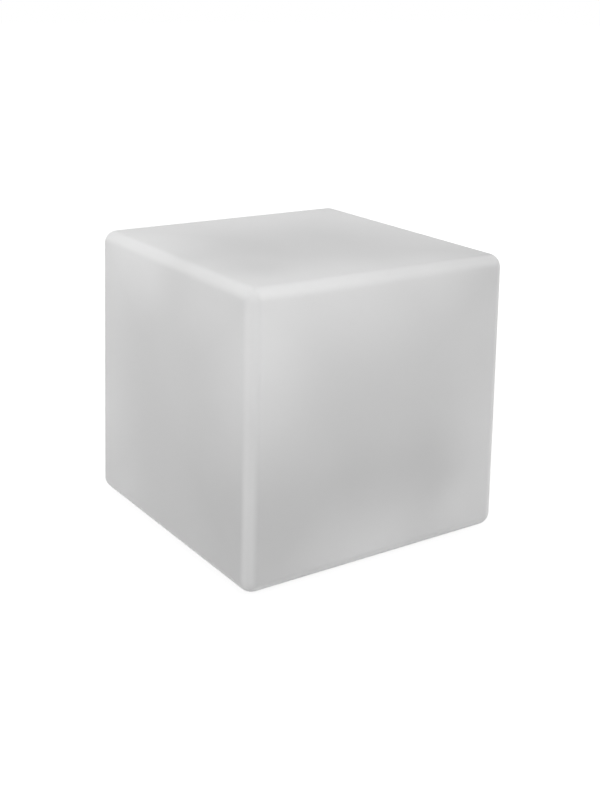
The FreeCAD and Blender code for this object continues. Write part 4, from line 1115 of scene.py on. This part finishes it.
def led_packages():
    """Tree that puts an LED package on every point: body, phosphor in a rim, three leads on each side."""
    given = geometry_tree("led packages", ("Size", FLOAT, 0.005), ("Height", FLOAT, 0.0016))
    size, height = given["Size"], given["Height"]
    tree = size.tree
    body = shifted(box_shape(size, size, height * 0.86), point(z=height * 0.43))
    filling = shifted(rod(24, size * 0.37, height * 0.1), point(z=height * 0.85))
    rim = placed(
        tree, "CurveToMesh", curve=circle(24, size * 0.39), profile_curve=circle(6, height * 0.13))
    rim = shifted(rim, point(z=height * 0.86))
    lead = box_shape(size * 1.06, size * 0.18, 0.0003)
    leads = [shifted(lead, point(y=size * share, z=0.00016)) for share in (-0.33, 0.0, 0.33)]
    package = joined(marked(BODY, body), marked(FILLING, filling), marked(BODY, rim), marked(TINNED, *leads))
    return ended(given, sown(given["Geometry"], package, stored(tree, "turn", "FLOAT_VECTOR")))


def small_parts():
    """Tree that puts a resistor-like chip with two tinned ends on every point."""
    given = geometry_tree("small parts", ("Length", FLOAT, 0.002))
    span = given["Length"]
    width, height = span * 0.62, span * 0.28
    body = shifted(box_shape(span * 0.96, width, height), point(z=height * 0.5))
    cap = box_shape(span * 0.2, width * 1.04, height * 1.08)
    caps = [shifted(cap, point(x=span * share, z=height * 0.52)) for share in (-0.4, 0.4)]
    chip = joined(marked(BODY, body), marked(TINNED, *caps))
    return ended(given, sown(given["Geometry"], chip, stored(span.tree, "turn", "FLOAT_VECTOR")))


def wound_coil():
    """Tree that winds one layer of wire between the flanges of the coil's drum."""
    given = geometry_tree(
        "wound coil", ("Radius", FLOAT, 0.0042), ("Height", FLOAT, 0.003), ("Turns", COUNT, 6))
    thick = given["Height"] / (given["Turns"] + 1.0)
    half = thick * 0.49
    coil = wound(given["Turns"], given["Radius"] + half, given["Height"] - thick, circle(6, half), 24)
    return ended(given, sown(given["Geometry"], shifted(coil, point(z=half))))


class CUBE_LIGHT_OT_place_leds(bpy.types.Operator):
    """Places the LED packages on the round board"""

    bl_idname = "cube_light.place_leds"
    bl_label = "Place the LEDs"

    def execute(self, context):
        source = merged("leds")
        boxes = [(low, high) for low, high, reached in parts_of(source)]
        source.free()
        places = [foot_of(low, high) for low, high in boxes]
        turns = [math.atan2(place.y, place.x) for place in places]
        low, high = boxes[0]
        swing = abs(math.cos(turns[0])) + abs(math.sin(turns[0]))   # width of the turned square over its side
        grown(
            "led_packages", point_cloud("led_points", places, turns), led_packages(), "led", ("leds",),
            size=(high.x - low.x) / swing, height=high.z - low.z)
        return {"FINISHED"}


class CUBE_LIGHT_OT_fill_board(bpy.types.Operator):
    """Adds the rows of small parts and the coil's winding to the control board"""

    bl_idname = "cube_light.fill_board"
    bl_label = "Fill the control board"

    def execute(self, context):
        given = context.scene.cube_light_electronics
        low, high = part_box("control_board")
        middle = (low + high) / 2
        places = [
            (middle.x + start + step * given.chip_pitch, middle.y + across, high.z)
            for across, start, end in CHIP_ROWS
            for step in range(int((end - start) / given.chip_pitch) + 1)]
        points = point_cloud("chip_points", places, [math.pi / 2] * len(places))
        grown("small_parts", points, small_parts(), "black_part", finish="chip", length=given.chip_length)
        low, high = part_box("power_coil")
        foot = foot_of(low, high) + Vector((0.0, 0.0, COIL_FLANGE))
        grown(
            "coil_winding", point_cloud("coil_point", [foot]), wound_coil(), "brass", finish="winding",
            radius=COIL_CORE, height=high.z - low.z - 2 * COIL_FLANGE, turns=given.coil_turns)
        return {"FINISHED"}


class CUBE_LIGHT_OT_finish_nodes(bpy.types.Operator):
    """Gives every piece that keeps its own shape its finish"""

    bl_idname = "cube_light.finish_nodes"
    bl_label = "Finish the pieces"

    def execute(self, context):
        for name, item in frame["nodes"].items():
            if not item.hide_render:
                item.data.materials.clear()
                item.data.materials.append(finish_of(SLOT_OF[name]))
        return {"FINISHED"}


# ---- stage

LAMP_TARGET = (0.0, 0.0, 0.22)
# Setting with the power, place and size of each lamp.
LAMPS = (
    ("top_lamp", (0.0, 0.0, 2.4), 1.6),
    ("back_lamp", (0.2, 1.4, 2.0), 1.2),
    ("front_lamp", (1.6, -1.8, 0.9), 1.2),
    ("left_lamp", (-1.0, 0.25, 0.5), 0.6),
    ("corner_lamp", (-0.35, -0.8, 0.75), 0.35),
    ("far_lamp", (1.9, 1.5, 0.25), 1.0),
)
FLOOR_REACH = 14.0
FLOOR_GLOW = (0.4, 1.2, 0.89)   # the floor's own light rises between these two distances, from this level to 1
SHADOW_TONE = 0.22              # of the floor that catches the shadow
SHIFT_UP = -0.075               # of the camera, for the picture's framing
ASIDE = (-0.007485, -0.051245)  # of the cube's middle from the view's axis, in the camera's own axes


def placed_shader(tree, kind, inputs):
    return Value(node(tree, "ShaderNode" + kind, inputs).outputs[0])


def seen_directly(tree):
    """1 for rays from the camera, and for those that reach it by way of metal or glass."""
    path = outputs_of(node(tree, "ShaderNodeLightPath"))
    shown = maths("MAXIMUM", path["Is Camera Ray"], path["Is Glossy Ray"])
    return maths("MAXIMUM", shown, path["Is Transmission Ray"])


def floor_finish(colour):
    """Pale floor that reads white to the camera and in reflections, and keeps a faint shadow."""
    made, shader, where = started("pale floor")
    tree = made.node_tree
    grain = noise(where, 3.0, 2.0, 0.5)
    wire(shader["Base Color"], shade(colour, remap(grain, 0.3, 0.7, 0.985, 1.0)))
    shader["Roughness"].default_value = 0.9
    shader["Specular IOR Level"].default_value = 0.1
    start, full, low = FLOOR_GLOW
    level = remap(vectors("LENGTH", where), start, full, low, 1.0)
    faint = placed_shader(tree, "BsdfDiffuse", {"Color": [SHADOW_TONE] * 3})
    glow = placed_shader(tree, "Emission", {"Color": WHITE, "Strength": level})
    shown = placed_shader(tree, "AddShader", (faint, glow))
    plain = Value(tree.nodes["Principled BSDF"].outputs[0])
    choice = placed_shader(tree, "MixShader", (seen_directly(tree), plain, shown))
    wire(tree.nodes["Material Output"].inputs["Surface"], choice)
    return made


def white_surround(fill):
    """World that lights the cube evenly and shows white to the camera and in reflections."""
    world = bpy.data.worlds.new("studio")
    bpy.context.scene.world = world
    world.use_nodes = True
    tree = world.node_tree
    tree.nodes.clear()
    strength = remap(seen_directly(tree), 0.0, 1.0, fill, 1.0, smooth=False)
    surround = placed_shader(tree, "Background", {"Color": WHITE, "Strength": strength})
    node(tree, "ShaderNodeOutputWorld", {"Surface": surround})


def soft_lamp(name, place, size, watts):
    """Square lamp turned to the cube."""
    lamp = bpy.data.lights.new(name, "AREA")
    lamp.shape = "SQUARE"
    lamp.size = size
    lamp.energy = watts
    item = bpy.data.objects.new(name, lamp)
    bpy.context.scene.collection.objects.link(item)
    item.location = place
    item.rotation_euler = (Vector(LAMP_TARGET) - Vector(place)).to_track_quat("-Z", "Y").to_euler()


def place_camera(given):
    """Camera at the photographed angle, framed for a picture 600 wide and 800 high."""
    azimuth, elevation, roll = given.azimuth, given.elevation, given.roll
    back = Vector((
        math.sin(azimuth) * math.cos(elevation), -math.cos(azimuth) * math.cos(elevation), math.sin(elevation)))
    right = Vector((math.cos(azimuth), math.sin(azimuth), 0.0))
    up = back.cross(right)
    turned_right = right * math.cos(roll) + up * math.sin(roll)
    turned_up = up * math.cos(roll) - right * math.sin(roll)
    middle = Vector((0.0, 0.0, (SHELL_LOW.z + SHELL_HIGH.z) / 2))
    place = middle - turned_right * ASIDE[0] - turned_up * ASIDE[1] + back * given.distance
    lens = bpy.data.cameras.new("camera")
    lens.lens = given.lens
    lens.sensor_width = 36.0
    lens.shift_y = SHIFT_UP
    lens.clip_start = 0.05
    lens.clip_end = 60.0
    item = bpy.data.objects.new("camera", lens)
    bpy.context.scene.collection.objects.link(item)
    item.matrix_world = Matrix((turned_right, turned_up, back)).transposed().to_4x4()
    item.matrix_world.translation = place
    bpy.context.scene.camera = item


class CUBE_LIGHT_OT_build_stage(bpy.types.Operator):
    """Sets up the floor, the surround, the lamps and the camera"""

    bl_idname = "cube_light.build_stage"
    bl_label = "Build the stage"

    def execute(self, context):
        given = context.scene.cube_light_stage
        solid = bmesh.new()
        bmesh.ops.create_grid(solid, x_segments=12, y_segments=12, size=FLOOR_REACH)
        sheet = shaped("floor", solid)
        sheet.materials.append(floor_finish(given.floor_colour))
        floor = bpy.data.objects.new("floor", sheet)
        context.scene.collection.objects.link(floor)
        white_surround(given.fill)
        for name, place, size in LAMPS:
            soft_lamp(name.replace("_", " "), place, size, getattr(given, name))
        place_camera(given)
        context.scene.view_settings.view_transform = "Standard"
        return {"FINISHED"}


# ---- panel and running


class CUBE_LIGHT_PT_panel(bpy.types.Panel):
    """Sizes, colours and steps of the cube light"""

    bl_idname = "CUBE_LIGHT_PT_panel"
    bl_label = "Cube light"
    bl_space_type = "VIEW_3D"
    bl_region_type = "UI"
    bl_category = "Cube light"

    def draw(self, context):
        for group in SETTINGS:
            box = self.layout.box()
            for name in SETTINGS[group].__annotations__:
                box.prop(getattr(context.scene, group), name)
        for step in STEPS:
            self.layout.operator(step.bl_idname)


SETTINGS = {
    "cube_light_shell": ShellSettings,
    "cube_light_hardware": HardwareSettings,
    "cube_light_electronics": ElectronicsSettings,
    "cube_light_stage": StageSettings,
}
STEPS = (
    CUBE_LIGHT_OT_mould_shell,
    CUBE_LIGHT_OT_thread_screws,
    CUBE_LIGHT_OT_knurl_inserts,
    CUBE_LIGHT_OT_groove_feet,
    CUBE_LIGHT_OT_ridge_tab,
    CUBE_LIGHT_OT_fit_spring,
    CUBE_LIGHT_OT_place_leds,
    CUBE_LIGHT_OT_fill_board,
    CUBE_LIGHT_OT_finish_nodes,
    CUBE_LIGHT_OT_build_stage,
)


def register():
    for group, settings in SETTINGS.items():
        bpy.utils.register_class(settings)
        setattr(bpy.types.Scene, group, bpy.props.PointerProperty(type=settings))
    for item in (*STEPS, CUBE_LIGHT_PT_panel):
        bpy.utils.register_class(item)


def unregister():
    for item in (CUBE_LIGHT_PT_panel, *reversed(STEPS)):
        bpy.utils.unregister_class(item)
    for group, settings in SETTINGS.items():
        delattr(bpy.types.Scene, group)
        bpy.utils.unregister_class(settings)


def main():
    """Runs every step in order."""
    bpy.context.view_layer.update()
    register()
    bpy.ops.cube_light.mould_shell()
    bpy.ops.cube_light.thread_screws()
    bpy.ops.cube_light.knurl_inserts()
    bpy.ops.cube_light.groove_feet()
    bpy.ops.cube_light.ridge_tab()
    bpy.ops.cube_light.fit_spring()
    bpy.ops.cube_light.place_leds()
    bpy.ops.cube_light.fill_board()
    bpy.ops.cube_light.finish_nodes()
    bpy.ops.cube_light.build_stage()


if __name__ == "__main__":
    main()
